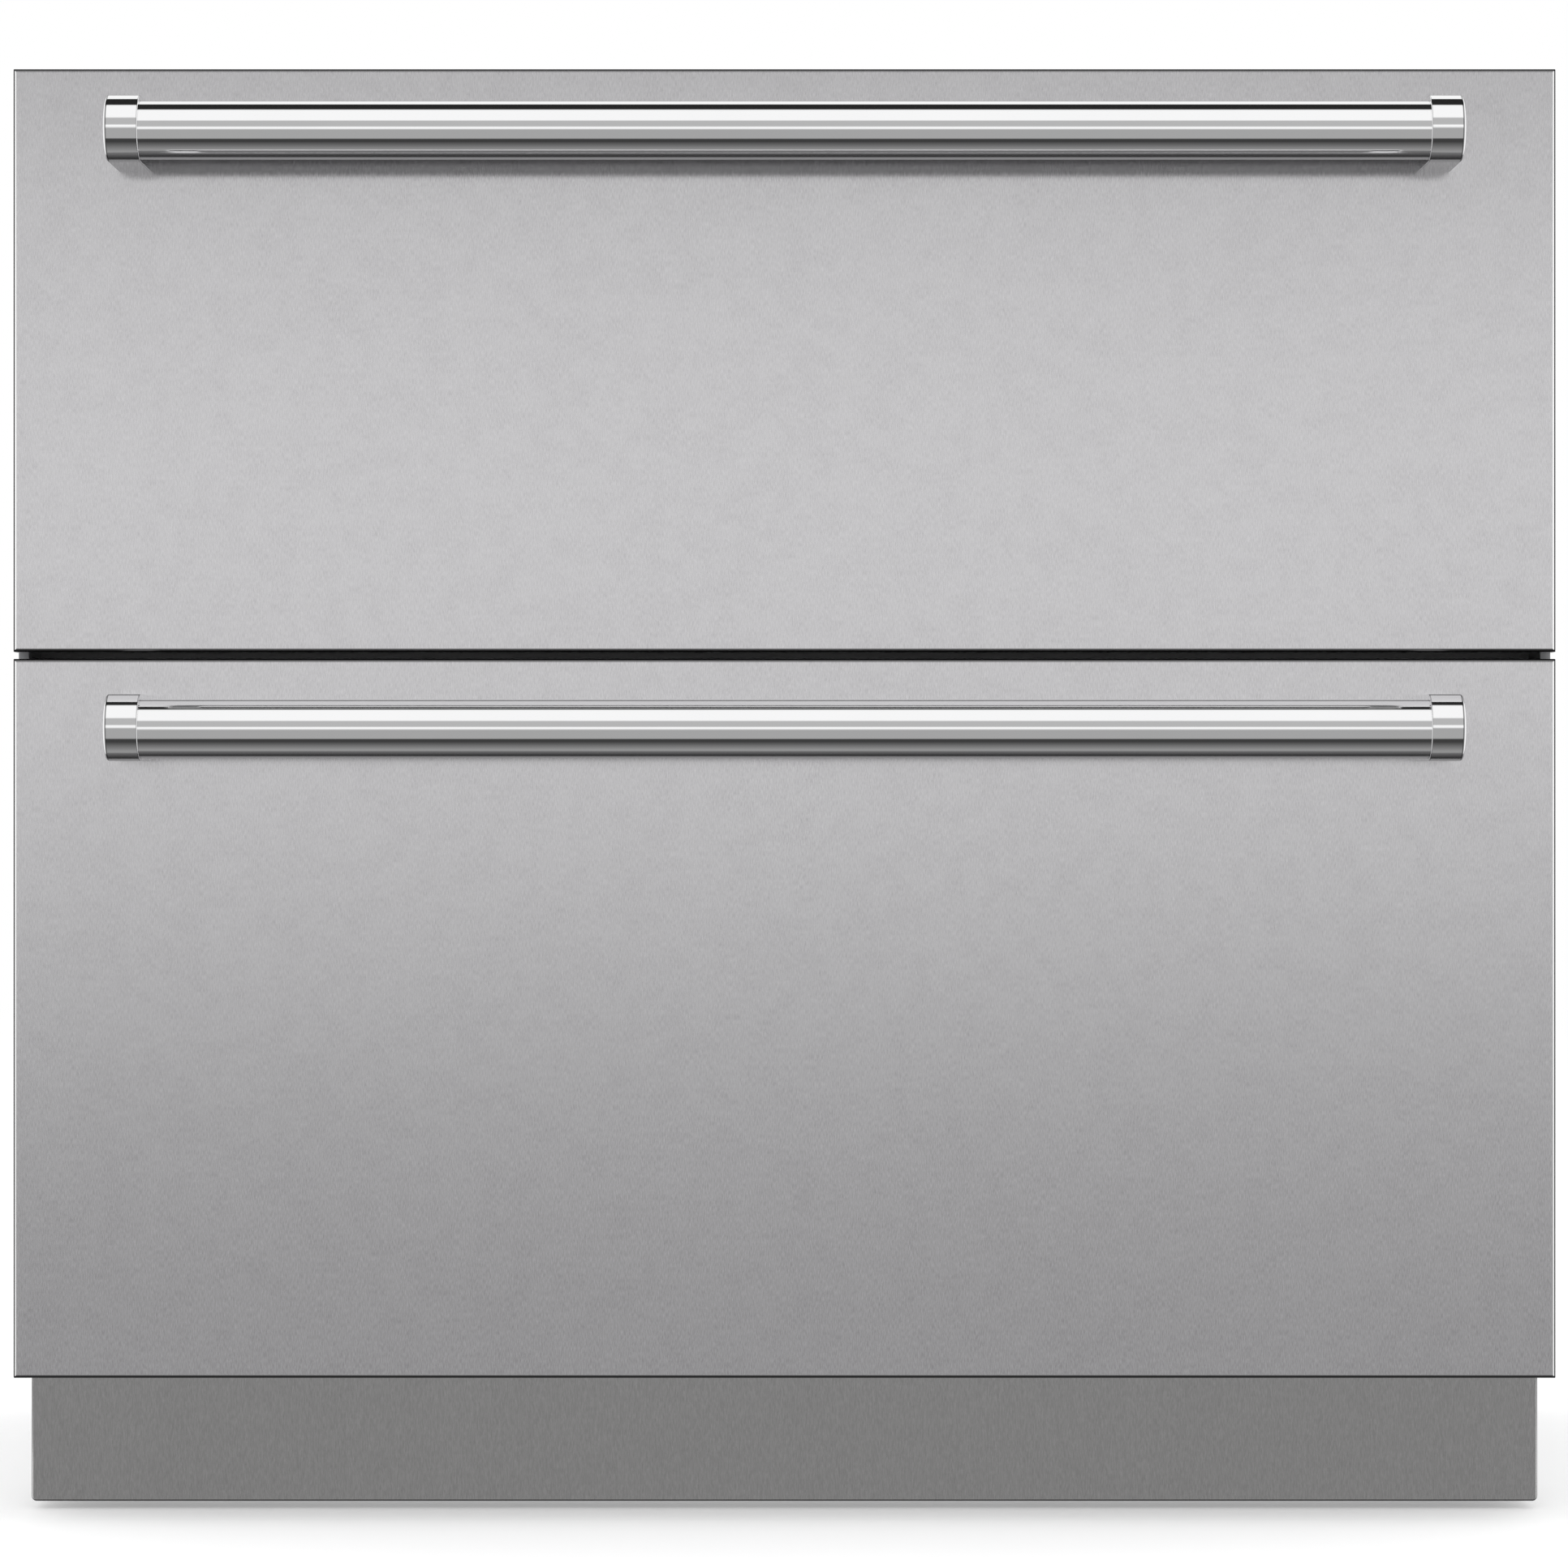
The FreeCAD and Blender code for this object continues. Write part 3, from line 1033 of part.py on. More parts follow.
def condenser_fan():
    """Fan that draws air through the condenser."""
    x, z = warm_fan_start()
    return fan((x, MACHINE_Y, z), (1, 0, 0), WARM_FAN_RADIUS, WARM_FAN_DEPTH, WARM_HUB_RADIUS,
               WARM_SHAFT_RADIUS + FAN_SHAFT_CLEARANCE)


def condenser_fan_motor():
    """Motor on a stand, with its shaft towards the condenser."""
    x, z = warm_fan_start()
    motor_x = x + WARM_FAN_DEPTH + WARM_MOTOR_GAP
    motor = cylinder(WARM_MOTOR_RADIUS, (motor_x, MACHINE_Y, z), (1, 0, 0), WARM_MOTOR_DEPTH)
    shaft = cylinder(WARM_SHAFT_RADIUS, (x, MACHINE_Y, z), (1, 0, 0), WARM_FAN_DEPTH + WARM_MOTOR_GAP)
    half = STAND_WIDTH / 2
    stand = block(WARM_STAND_X, WARM_STAND_X + STAND_SHEET, MACHINE_Y - half, MACHINE_Y + half,
                  TRAY_TOP, z + WARM_MOTOR_RADIUS)
    foot = block(WARM_STAND_X, WARM_STAND_X + STAND_WIDTH, MACHINE_Y - half, MACHINE_Y + half,
                 TRAY_TOP, TRAY_TOP + STAND_SHEET)
    return joined([motor, shaft, stand, foot])


def drain_pan():
    """Open pan on the tray that holds the defrost water."""
    front, rear = MACHINE_Y - PAN_SIZE_Y / 2, MACHINE_Y + PAN_SIZE_Y / 2
    outside = block(PAN_LEFT, PAN_RIGHT, front, rear, TRAY_TOP, TRAY_TOP + PAN_HEIGHT)
    outside = rounded(outside, PAN_CORNER, lambda edge: runs_along(edge, 2))
    inside = block(PAN_LEFT + PAN_WALL, PAN_RIGHT - PAN_WALL, front + PAN_WALL, rear - PAN_WALL,
                   TRAY_TOP + PAN_WALL, TRAY_TOP + PAN_HEIGHT)
    return outside.cut(rounded(inside, PAN_CORNER - PAN_WALL, lambda edge: runs_along(edge, 2)))


def pipe(points, radius, bend):
    """Round rod along straight runs that are joined by tangent arcs."""
    corners = [Vector(*point) for point in points]
    edges = []
    start = corners[0]
    for before, corner, after in zip(corners, corners[1:], corners[2:]):
        into, out = (corner - before).normalize(), (after - corner).normalize()
        half_turn = into.getAngle(out) / 2
        setback = bend * math.tan(half_turn)
        first, last = corner - into * setback, corner + out * setback
        towards_centre = (out - into).normalize()
        middle = corner + towards_centre * (bend / math.cos(half_turn) - bend)
        edges.append(Part.LineSegment(start, first).toShape())
        edges.append(Part.Arc(first, middle, last).toShape())
        start = last
    edges.append(Part.LineSegment(start, corners[-1]).toShape())
    heading = (corners[1] - corners[0]).normalize()
    section = Part.Wire([Part.Circle(corners[0], heading, radius).toShape()])
    return Part.Wire(edges).makePipeShell([section], True, True)


def refrigerant_lines():
    """Discharge line, filter drier with its liquid line, and the suction line."""
    shell_top = TRAY_TOP + GROMMET_HEIGHT + FOOT_PLATE + COMPRESSOR_HEIGHT
    over_z = BAY_TOP - LINE_DROP
    line_y = MACHINE_Y - CONDENSER_LENGTH / 2 + LINE_INSET
    coil_x = CONDENSER_X + CONDENSER_THICKNESS / 2 + SHROUD_SHEET
    upright_x = coil_x + LINE_STANDOFF
    high_z, low_z = TRAY_TOP + CONDENSER_HEIGHT - LINE_END, TRAY_TOP + LINE_END
    port_x, port_y = COMPRESSOR_X + DISCHARGE_PORT[0], MACHINE_Y + DISCHARGE_PORT[1]
    discharge = pipe([(port_x, port_y, shell_top), (port_x, port_y, over_z),
                      (port_x - LINE_SWEEP, line_y, over_z), (upright_x, line_y, over_z),
                      (upright_x, line_y, high_z), (coil_x, line_y, high_z)],
                     LINE_RADIUS, LINE_BEND)
    inlet = pipe([(coil_x, line_y, low_z), (upright_x, line_y, low_z)], LINE_RADIUS, LINE_BEND)
    drier = cylinder(DRIER_RADIUS, (upright_x, line_y, low_z), (1, 0, 0), DRIER_LENGTH)
    drier_end = upright_x + DRIER_LENGTH
    riser_x = drier_end + LINE_STANDOFF
    liquid = pipe([(drier_end, line_y, low_z), (riser_x, line_y, low_z), (riser_x, line_y, BAY_TOP)],
                  LINE_RADIUS, LINE_BEND)
    port_x, port_y = COMPRESSOR_X + SUCTION_PORT[0], MACHINE_Y + SUCTION_PORT[1]
    suction = pipe([(port_x, port_y, shell_top), (port_x, port_y, BAY_TOP)], LINE_RADIUS, LINE_BEND)
    return [discharge, inlet, drier, liquid, suction]


def machine_cover():
    """Louvred cover behind the machine bay."""
    half = INNER_HALF - COVER_MARGIN
    low, high = TRAY_TOP + COVER_MARGIN, BAY_TOP - COVER_MARGIN
    plate = block(-half, half, COVER_Y, COVER_Y + SHEET, low, high)
    total = VENT_COLUMNS * VENT_LENGTH + (VENT_COLUMNS - 1) * VENT_GAP
    first_z = (low + high) / 2 - VENT_PITCH * (VENT_ROWS - 1) / 2
    vents = [block(-total / 2 + column * (VENT_LENGTH + VENT_GAP),
                   -total / 2 + column * (VENT_LENGTH + VENT_GAP) + VENT_LENGTH, COVER_Y, COVER_Y + SHEET,
                   first_z + row * VENT_PITCH - VENT_HEIGHT / 2, first_z + row * VENT_PITCH + VENT_HEIGHT / 2)
             for column in range(VENT_COLUMNS) for row in range(VENT_ROWS)]
    seat = cylinder(GLAND_RADIUS + GLAND_FIT, (GLAND_X, COVER_Y, GLAND_HEIGHT), (0, 1, 0), SHEET)
    return cut(plate, vents + [seat] + [shank(place) for place in cover_screws()])


def power_cord_gland():
    """Bush in the machine cover that the supply cord passes through."""
    seat_y = COVER_Y + SHEET
    start = (GLAND_X, seat_y - GLAND_LENGTH + GLAND_FLANGE_HEIGHT, GLAND_HEIGHT)
    body = cylinder(GLAND_RADIUS, start, (0, 1, 0), GLAND_LENGTH - GLAND_FLANGE_HEIGHT)
    flange = cylinder(GLAND_FLANGE, (GLAND_X, seat_y, GLAND_HEIGHT), (0, 1, 0), GLAND_FLANGE_HEIGHT)
    bore = cylinder(GLAND_BORE, start, (0, 1, 0), GLAND_LENGTH)
    return joined([body, flange]).cut(bore)


# ---- Assembly ---------------------------------------------------------------------------
def build_drawer(name, front_low, front_high, opening_low, opening_high, slide_z, stepped):
    """Write every piece of one drawer."""
    handle_z = front_high - HANDLE_DROP
    rim_seat = slide_z + CARRIER_RISE
    bin_floor = opening_low + BIN_FLOOR_CLEARANCE
    _, middle, member = slide_members(slide_z)
    save(f"{name}_front_skin", [front_skin(front_low, front_high)])
    save(f"{name}_front_core", [front_core(front_low, front_high)])
    save(f"{name}_front_liner", [front_liner(front_low, front_high)])
    save(f"{name}_gasket", [gasket(opening_low, opening_high)])
    save(f"{name}_handle_bar", [handle_bar(handle_z)])
    save(f"{name}_handle_brackets", pair(handle_bracket(handle_z)))
    save(f"{name}_drawer_carrier", [drawer_carrier(slide_z)])
    save(f"{name}_drawer_rails", pair(member))
    save(f"{name}_middle_rails", pair(middle))
    save(f"{name}_sync_shaft", sync_shaft(slide_z))
    save(f"{name}_bin", [storage_bin(bin_floor, rim_seat, stepped)])
    save(f"{name}_divider", [divider(bin_floor, rim_seat, stepped)])


def build_cabinet():
    """Write every piece that stays with the cabinet."""
    wall = side_wall()
    save("right_side_wall", [wall])
    save("left_side_wall", [mirrored(wall)])
    save("top_cover", [top_cover()])
    save("rear_panel", [rear_panel()])
    save("bottom_panel", [bottom_panel()])
    save("cabinet_foam", [cabinet_foam()])
    save("inner_liner", [inner_liner()])
    save("face_frame", [face_frame()])
    save("center_mullion", [center_mullion()])
    save("base_tray", [base_tray()])
    save("kickplate", [kickplate()])
    save("machine_cover", [machine_cover()])
    save("power_cord_gland", [power_cord_gland()])
    save("counter_brackets", pair(counter_bracket()))
    places = bracket_screws() + top_screws() + rear_screws() + cover_screws()
    save("cabinet_screws", [screw(place) for place in places])
    for name, z in (("upper", UPPER_SLIDE_Z), ("lower", LOWER_SLIDE_Z)):
        member, _, _ = slide_members(z)
        save(f"{name}_cabinet_rails", pair(member))
    save("gear_racks", pair(gear_rack(UPPER_SLIDE_Z)) + pair(gear_rack(LOWER_SLIDE_Z)))
    for name, x, y in leg_places():
        save(name, [leveling_leg(x, y)])


def build_cooling():
    """Write the refrigeration pieces, the lamp and the controls."""
    save("evaporator", [evaporator()])
    save("evaporator_cover", [evaporator_cover()])
    save("evaporator_fan_motor", [evaporator_fan_motor()])
    save("evaporator_fan", [evaporator_fan()])
    save("light_lens", [light_lens()])
    save("control_panel", [control_panel()])
    for name, x in button_places():
        save(name, [button(x)])
    save("compressor", compressor())
    save("condenser", condenser())
    save("condenser_fan_motor", [condenser_fan_motor()])
    save("condenser_fan", [condenser_fan()])
    save("drain_pan", [drain_pan()])
    save("refrigerant_lines", refrigerant_lines())


os.makedirs("parts", exist_ok=True)
build_cabinet()
build_cooling()
build_drawer("upper", UPPER_FRONT_BOTTOM, UPPER_FRONT_TOP, MULLION_TOP, CEILING_Z, UPPER_SLIDE_Z, False)
build_drawer("lower", FRONT_BOTTOM, LOWER_FRONT_TOP, FLOOR_Z, MULLION_BOTTOM, LOWER_SLIDE_Z, True)
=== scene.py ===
"""Looks of an undercounter drawer refrigerator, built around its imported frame.

Two insulated drawers with brushed fronts and polished bar handles sit in a coated steel
cabinet over a recessed kickplate. Lengths are in metres. X runs across the width, Y from the
fronts to the rear, and Z up from the floor.
"""

import json
import logging
import math
from contextlib import contextmanager
from dataclasses import dataclass
from enum import Enum
from typing import Any, Callable, Dict, Iterator, List, Optional, Sequence, Tuple

import bmesh
import bpy
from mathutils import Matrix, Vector


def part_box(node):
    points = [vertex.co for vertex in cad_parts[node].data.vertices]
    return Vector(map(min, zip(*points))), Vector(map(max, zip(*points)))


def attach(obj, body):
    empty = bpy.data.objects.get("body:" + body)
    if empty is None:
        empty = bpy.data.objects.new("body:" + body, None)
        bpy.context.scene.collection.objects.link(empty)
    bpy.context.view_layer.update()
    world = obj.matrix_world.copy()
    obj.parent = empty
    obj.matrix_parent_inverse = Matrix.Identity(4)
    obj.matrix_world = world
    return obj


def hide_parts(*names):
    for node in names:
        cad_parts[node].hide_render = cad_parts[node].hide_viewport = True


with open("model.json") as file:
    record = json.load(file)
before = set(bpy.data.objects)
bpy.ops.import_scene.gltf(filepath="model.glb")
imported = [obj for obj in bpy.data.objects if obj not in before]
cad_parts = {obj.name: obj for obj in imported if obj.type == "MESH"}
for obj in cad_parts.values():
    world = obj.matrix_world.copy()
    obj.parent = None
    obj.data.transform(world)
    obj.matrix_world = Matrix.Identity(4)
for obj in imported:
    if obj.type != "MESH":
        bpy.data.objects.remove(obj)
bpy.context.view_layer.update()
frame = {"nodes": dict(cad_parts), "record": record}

LOG = logging.getLogger("refrigerator")
MM = 0.001
NEAR = 1e-5  # coordinates closer than this are the same
WELD = 2e-6  # points of a CAD mesh closer than this are merged
FLAT = 0.4  # degrees within which the triangles of a CAD mesh become one face
BEVELLED = 34.0  # degrees above which an edge gets a bevel
CREASED = 35.0  # degrees above which an edge stays sharp in the shading

Point = Sequence[float]
Span = Tuple[float, float]
Colour = Tuple[float, float, float]
FaceTest = Callable[[Vector, Vector], bool]
EdgeTest = Callable[[Vector, Vector], bool]
PointTest = Callable[[Vector], bool]


class Drawer(Enum):
    """The two drawers, by the names of their bodies."""

    UPPER = "upper"
    LOWER = "lower"

    @property
    def body(self) -> str:
        """Body that the whole drawer rides on."""
        return f"{self.value}_drawer"

    def node(self, piece: str) -> str:
        """Name of one of this drawer's CAD pieces."""
        return f"{self.value}_{piece}"


class Side(Enum):
    """Left and right, seen from the front, by the start of their nodes' names."""

    LEFT = "left"
    RIGHT = "right"


# ---- Modelling bench ---------------------------------------------------------------------
def put_down() -> None:
    """Leave edit mode and deselect every object."""
    active = bpy.context.view_layer.objects.active
    if active is not None and active.mode != "OBJECT":
        bpy.ops.object.mode_set(mode="OBJECT")
    bpy.ops.object.select_all(action="DESELECT")


def pick_up(piece: bpy.types.Object) -> None:
    """Select one object alone and make it active.

    Args:
        piece: The object.
    """
    put_down()
    piece.select_set(True)
    bpy.context.view_layer.objects.active = piece


@contextmanager
def shaping(piece: bpy.types.Object) -> Iterator[None]:
    """Edit one mesh, with nothing selected at first.

    Args:
        piece: The object whose mesh is edited.

    Yields:
        Nothing, while the mesh is in edit mode.
    """
    pick_up(piece)
    bpy.ops.object.mode_set(mode="EDIT")
    bpy.ops.mesh.select_mode(type="FACE")
    bpy.ops.mesh.select_all(action="DESELECT")
    yield
    bpy.ops.object.mode_set(mode="OBJECT")


def choose(piece: bpy.types.Object, kind: str,
           pick: Callable[[bmesh.types.BMesh], Sequence[Any]]) -> int:
    """Select some elements of a mesh, in edit mode.

    Args:
        piece: The object in edit mode.
        kind: VERT, EDGE or FACE.
        pick: Takes the mesh and returns the elements.

    Returns:
        How many elements were selected.
    """
    bpy.ops.mesh.select_mode(type=kind)
    bpy.ops.mesh.select_all(action="DESELECT")
    mesh = bmesh.from_edit_mesh(piece.data)
    chosen = pick(mesh)
    for element in chosen:
        element.select_set(True)
    bmesh.update_edit_mesh(piece.data)
    return len(chosen)


def choose_faces(piece: bpy.types.Object, test: FaceTest) -> int:
    """Select the faces that pass a test, in edit mode.

    Args:
        piece: The object in edit mode.
        test: Takes a face's middle and normal.

    Returns:
        How many faces were selected.
    """
    return choose(piece, "FACE", lambda mesh: [
        face for face in mesh.faces if test(face.calc_center_median(), face.normal)])


def choose_edges(piece: bpy.types.Object, test: EdgeTest) -> int:
    """Select the edges that pass a test, in edit mode.

    Args:
        piece: The object in edit mode.
        test: Takes an edge's two ends.

    Returns:
        How many edges were selected.
    """
    return choose(piece, "EDGE", lambda mesh: [
        edge for edge in mesh.edges if test(edge.verts[0].co, edge.verts[1].co)])


def choose_points(piece: bpy.types.Object, point_test: PointTest,
                  face_test: PointTest = lambda normal: True) -> int:
    """Select the vertices that pass a test, of some faces only, in edit mode.

    Args:
        piece: The object in edit mode.
        point_test: Takes the place of a vertex.
        face_test: Takes a face's normal.

    Returns:
        How many vertices were selected.
    """
    return choose(piece, "VERT", lambda mesh: list({
        point for face in mesh.faces if face_test(face.normal)
        for point in face.verts if point_test(point.co)}))


def along(start: Vector, end: Vector, axis: int) -> bool:
    """Whether an edge runs along one axis.

    Args:
        start: One end of the edge.
        end: Its other end.
        axis: 0, 1 or 2 for X, Y or Z.

    Returns:
        True if its ends differ along that axis alone.
    """
    offset = end - start
    across = max(abs(offset[other]) for other in range(3) if other != axis)
    return across < NEAR < abs(offset[axis])


def at(value: float, place: float, slack: float = 2 * NEAR) -> bool:
    """Whether a coordinate lies at a place."""
    return abs(value - place) < slack


def settle(piece: bpy.types.Object, name: str) -> bpy.types.Object:
    """Name a piece and put its place and turn into its mesh.

    Args:
        piece: The object to settle.
        name: Its final name.

    Returns:
        The same object, at the origin.
    """
    pick_up(piece)
    bpy.ops.object.transform_apply(location=True, rotation=True, scale=True)
    piece.name = name
    piece.data.name = name
    return piece


def add_block(name: str, low: Point, high: Point) -> bpy.types.Object:
    """Add a block between two corners, as a start for a piece.

    Args:
        name: The object's name.
        low: Lowest corner.
        high: Highest corner.

    Returns:
        The new object.
    """
    put_down()
    middle = [(a + b) / 2 for a, b in zip(low, high)]
    size = [b - a for a, b in zip(low, high)]
    bpy.ops.mesh.primitive_cube_add(size=1, location=middle, scale=size)
    return settle(bpy.context.object, name)


def add_rod(name: str, start: Point, axis: int, length: float, radius: float,
            sides: int = 48) -> bpy.types.Object:
    """Add a cylinder that runs from a point along an axis, as a start for a round piece.

    Args:
        name: The object's name.
        start: Middle of its first end.
        axis: 0, 1 or 2 for X, Y or Z.
        length: How far it runs.
        radius: Its radius.
        sides: How many faces it has round it.

    Returns:
        The new object.
    """
    put_down()
    middle = list(start)
    middle[axis] += length / 2
    turn = ((0, math.pi / 2, 0), (math.pi / 2, 0, 0), (0, 0, 0))[axis]
    bpy.ops.mesh.primitive_cylinder_add(vertices=sides, radius=radius, depth=length,
                                        location=middle, rotation=turn)
    return settle(bpy.context.object, name)


def add_ring(name: str, low: Point, high: Point, width: float) -> bpy.types.Object:
    """Add a rectangular ring that one can look through along Y.

    Args:
        name: The object's name.
        low: Lowest outer corner.
        high: Highest outer corner.
        width: Width of the ring on each side.

    Returns:
        The new object.
    """
    ring = add_block(name, low, high)
    with shaping(ring):
        choose_faces(ring, lambda middle, normal: abs(normal.y) > 0.9)
        bpy.ops.mesh.inset(thickness=width, use_even_offset=True)
        bpy.ops.mesh.bridge_edge_loops()
    return ring


def round_edges(piece: bpy.types.Object, test: EdgeTest, width: float, steps: int = 3) -> None:
    """Bevel the chosen edges of a mesh.

    Args:
        piece: The object to change.
        test: Takes an edge's two ends.
        width: Width of the bevel.
        steps: How many segments it has.
    """
    with shaping(piece):
        if choose_edges(piece, test):
            bpy.ops.mesh.bevel(offset=width, offset_type="OFFSET", segments=steps, profile=0.5,
                               affect="EDGES", clamp_overlap=True)


def modify(piece: bpy.types.Object, kind: str, **values: Any) -> None:
    """Add a modifier, set its values and apply it.

    Args:
        piece: The object to change.
        kind: The modifier's type.
        values: Its settings by name.
    """
    pick_up(piece)
    modifier = piece.modifiers.new(kind.lower(), kind)
    for key, value in values.items():
        setattr(modifier, key, value)
    bpy.ops.object.modifier_apply(modifier=modifier.name)


def smooth(piece: bpy.types.Object, angle: float = CREASED) -> None:
    """Shade a piece smooth, with large faces flat up to their bevels.

    Args:
        piece: The object to shade.
        angle: Edges sharper than this, in degrees, stay sharp.
    """
    pick_up(piece)
    bpy.ops.object.shade_smooth_by_angle(angle=math.radians(angle))
    modify(piece, "WEIGHTED_NORMAL", keep_sharp=True, weight=80)


def soften(piece: bpy.types.Object, width: float, steps: int = 2, limit: float = BEVELLED) -> None:
    """Give every sharp edge a small bevel.

    Args:
        piece: The object to change.
        width: Width of the bevel.
        steps: How many segments it has.
        limit: Edges less sharp than this, in degrees, are left.
    """
    modify(piece, "BEVEL", width=width, segments=steps, limit_method="ANGLE",
           angle_limit=math.radians(limit), use_clamp_overlap=True)


def tidy_mesh(piece: bpy.types.Object, gap: float) -> None:
    """Merge doubles and turn the faces outwards.

    Args:
        piece: The object to change.
        gap: Points closer than this are merged.
    """
    with shaping(piece):
        bpy.ops.mesh.select_all(action="SELECT")
        bpy.ops.mesh.remove_doubles(threshold=gap)
        bpy.ops.mesh.normals_make_consistent(inside=False)


def node_copy(node: str, name: str, flatten: bool = True) -> bpy.types.Object:
    """Copy a CAD node's mesh into a new, merged piece.

    Args:
        node: The CAD node.
        name: Name of the new piece.
        flatten: Whether triangles in one plane become one face.

    Returns:
        The new object.
    """
    source = frame["nodes"][node]
    piece = bpy.data.objects.new(name, source.data.copy())
    bpy.context.scene.collection.objects.link(piece)
    piece.data.name = name
    pick_up(piece)
    if piece.data.has_custom_normals:
        bpy.ops.mesh.customdata_custom_splitnormals_clear()
    with shaping(piece):
        bpy.ops.mesh.select_all(action="SELECT")
        bpy.ops.mesh.remove_doubles(threshold=WELD)
        if flatten:
            bpy.ops.mesh.dissolve_limited(angle_limit=math.radians(FLAT))
    return piece


def softened_copy(node: str, name: str, width: float, steps: int = 2,
                  limit: float = BEVELLED, angle: float = CREASED) -> bpy.types.Object:
    """Copy a CAD node and give its sharp edges a small bevel.

    Args:
        node: The CAD node.
        name: Name of the new piece.
        width: Width of the bevel.
        steps: How many segments it has.
        limit: Edges less sharp than this, in degrees, are left.
        angle: Edges sharper than this, in degrees, stay sharp in the shading.

    Returns:
        The new object.
    """
    piece = node_copy(node, name)
    soften(piece, width, steps, limit)
    smooth(piece, angle)
    return piece


def copy_to(piece: bpy.types.Object, name: str, offset: Point) -> bpy.types.Object:
    """Copy a piece, with its own mesh, and move the copy.

    Args:
        piece: The object to copy.
        name: Name of the copy.
        offset: How far the copy moves.

    Returns:
        The copy, settled at the origin.
    """
    put_down()
    twin = piece.copy()
    twin.data = piece.data.copy()
    bpy.context.scene.collection.objects.link(twin)
    twin.location = Vector(offset)
    return settle(twin, name)


def mirror_to(piece: bpy.types.Object, name: str) -> bpy.types.Object:
    """Copy a piece to the other side of the middle plane.

    Args:
        piece: The object to copy.
        name: Name of the copy.

    Returns:
        The copy, with its faces outwards.
    """
    put_down()
    twin = piece.copy()
    twin.data = piece.data.copy()
    bpy.context.scene.collection.objects.link(twin)
    twin.scale = (-1, 1, 1)
    settle(twin, name)
    with shaping(twin):
        bpy.ops.mesh.select_all(action="SELECT")
        bpy.ops.mesh.normals_make_consistent(inside=False)
    return twin


def join(name: str, pieces: Sequence[bpy.types.Object]) -> bpy.types.Object:
    """Make one object out of several.

    Args:
        name: Name of the result.
        pieces: The objects to join.

    Returns:
        The joined object.
    """
    put_down()
    for piece in pieces:
        piece.select_set(True)
    bpy.context.view_layer.objects.active = pieces[0]
    if len(pieces) > 1:
        bpy.ops.object.join()
    whole = bpy.context.view_layer.objects.active
    whole.name = name
    whole.data.name = name
    return whole


def carve(piece: bpy.types.Object, cutter: bpy.types.Object) -> None:
    """Cut one mesh out of another and throw the cutter away.

    Args:
        piece: The object that is cut.
        cutter: The object that is taken out of it.
    """
    modify(piece, "BOOLEAN", operation="DIFFERENCE", solver="EXACT", object=cutter)
    throw_away(cutter)


def throw_away(piece: bpy.types.Object) -> None:
    """Remove a helper object and its mesh.

    Args:
        piece: The object to remove.
    """
    mesh = piece.data
    bpy.data.objects.remove(piece)
    if mesh.users == 0:
        bpy.data.meshes.remove(mesh)


def corners(node: str) -> Tuple[Vector, Vector]:
    """Lowest and highest corner of a CAD node."""
    low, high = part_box(node)
    return Vector(low), Vector(high)


# ---- Wiring of materials -----------------------------------------------------------------
class Wiring:
    """Adds and links nodes in one node tree."""

    def __init__(self, tree: bpy.types.NodeTree) -> None:
        """Start on a node tree.

        Args:
            tree: The tree to add nodes to.
        """
        self.tree = tree
        self.column = 0

    def add(self, kind: str, inputs: Optional[Dict[Any, Any]] = None,
            **settings: Any) -> bpy.types.Node:
        """Add a node.

        Args:
            kind: The node's type.
            inputs: Values or sockets for its inputs, by name or number.
            settings: Its properties.

        Returns:
            The new node.
        """
        node = self.tree.nodes.new(kind)
        node.location = (self.column * 180, 0)
        self.column += 1
        for key, value in settings.items():
            setattr(node, key, value)
        for key, value in (inputs or {}).items():
            if isinstance(value, bpy.types.NodeSocket):
                self.tree.links.new(value, node.inputs[key])
            else:
                node.inputs[key].default_value = value
        return node

    def mix(self, share: Any, first: Any, second: Any) -> bpy.types.NodeSocket:
        """Mix two colours.

        Args:
            share: How much of the second colour, as a value or a socket.
            first: First colour, or its socket.
            second: Second colour, or its socket.

        Returns:
            The result's socket.
        """
        node = self.add("ShaderNodeMix", data_type="RGBA")
        for key, value in ((0, share), (6, first), (7, second)):
            if isinstance(value, bpy.types.NodeSocket):
                self.tree.links.new(value, node.inputs[key])
            elif key == 0:
                node.inputs[key].default_value = value
            else:
                node.inputs[key].default_value = (*value[:3], 1)
        return node.outputs[2]

    def math(self, operation: str, *values: Any) -> bpy.types.NodeSocket:
        """Add a Math node and return its socket."""
        node = self.add("ShaderNodeMath", dict(enumerate(values)), operation=operation)
        return node.outputs[0]

    def spread(self, value: Any, source: Span, target: Span) -> bpy.types.NodeSocket:
        """Map one range of values to another.

        Args:
            value: The value, or its socket.
            source: Start and end of its range.
            target: What these become.

        Returns:
            The result's socket.
        """
        node = self.add("ShaderNodeMapRange", {0: value, 1: source[0], 2: source[1],
                                               3: target[0], 4: target[1]})
        return node.outputs[0]

    def bump(self, height: Any, strength: float, distance: float) -> bpy.types.NodeSocket:
        """Add a Bump node.

        Args:
            height: Socket of the height.
            strength: How much of it shows.
            distance: Its depth.

        Returns:
            The socket of the new normal.
        """
        node = self.add("ShaderNodeBump", {"Height": height, "Strength": strength,
                                           "Distance": distance})
        return node.outputs[0]

    def noise(self, where: Any, scale: Any, detail: float,
              roughness: float = 0.5) -> bpy.types.NodeSocket:
        """Add a Noise Texture node.

        Args:
            where: Socket of the place.
            scale: Its scale, or a socket.
            detail: How many finer layers it has.
            roughness: How strong the finer layers are.

        Returns:
            The socket of the noise.
        """
        node = self.add("ShaderNodeTexNoise", {"Vector": where, "Scale": scale, "Detail": detail,
                                               "Roughness": roughness})
        return node.outputs[0]


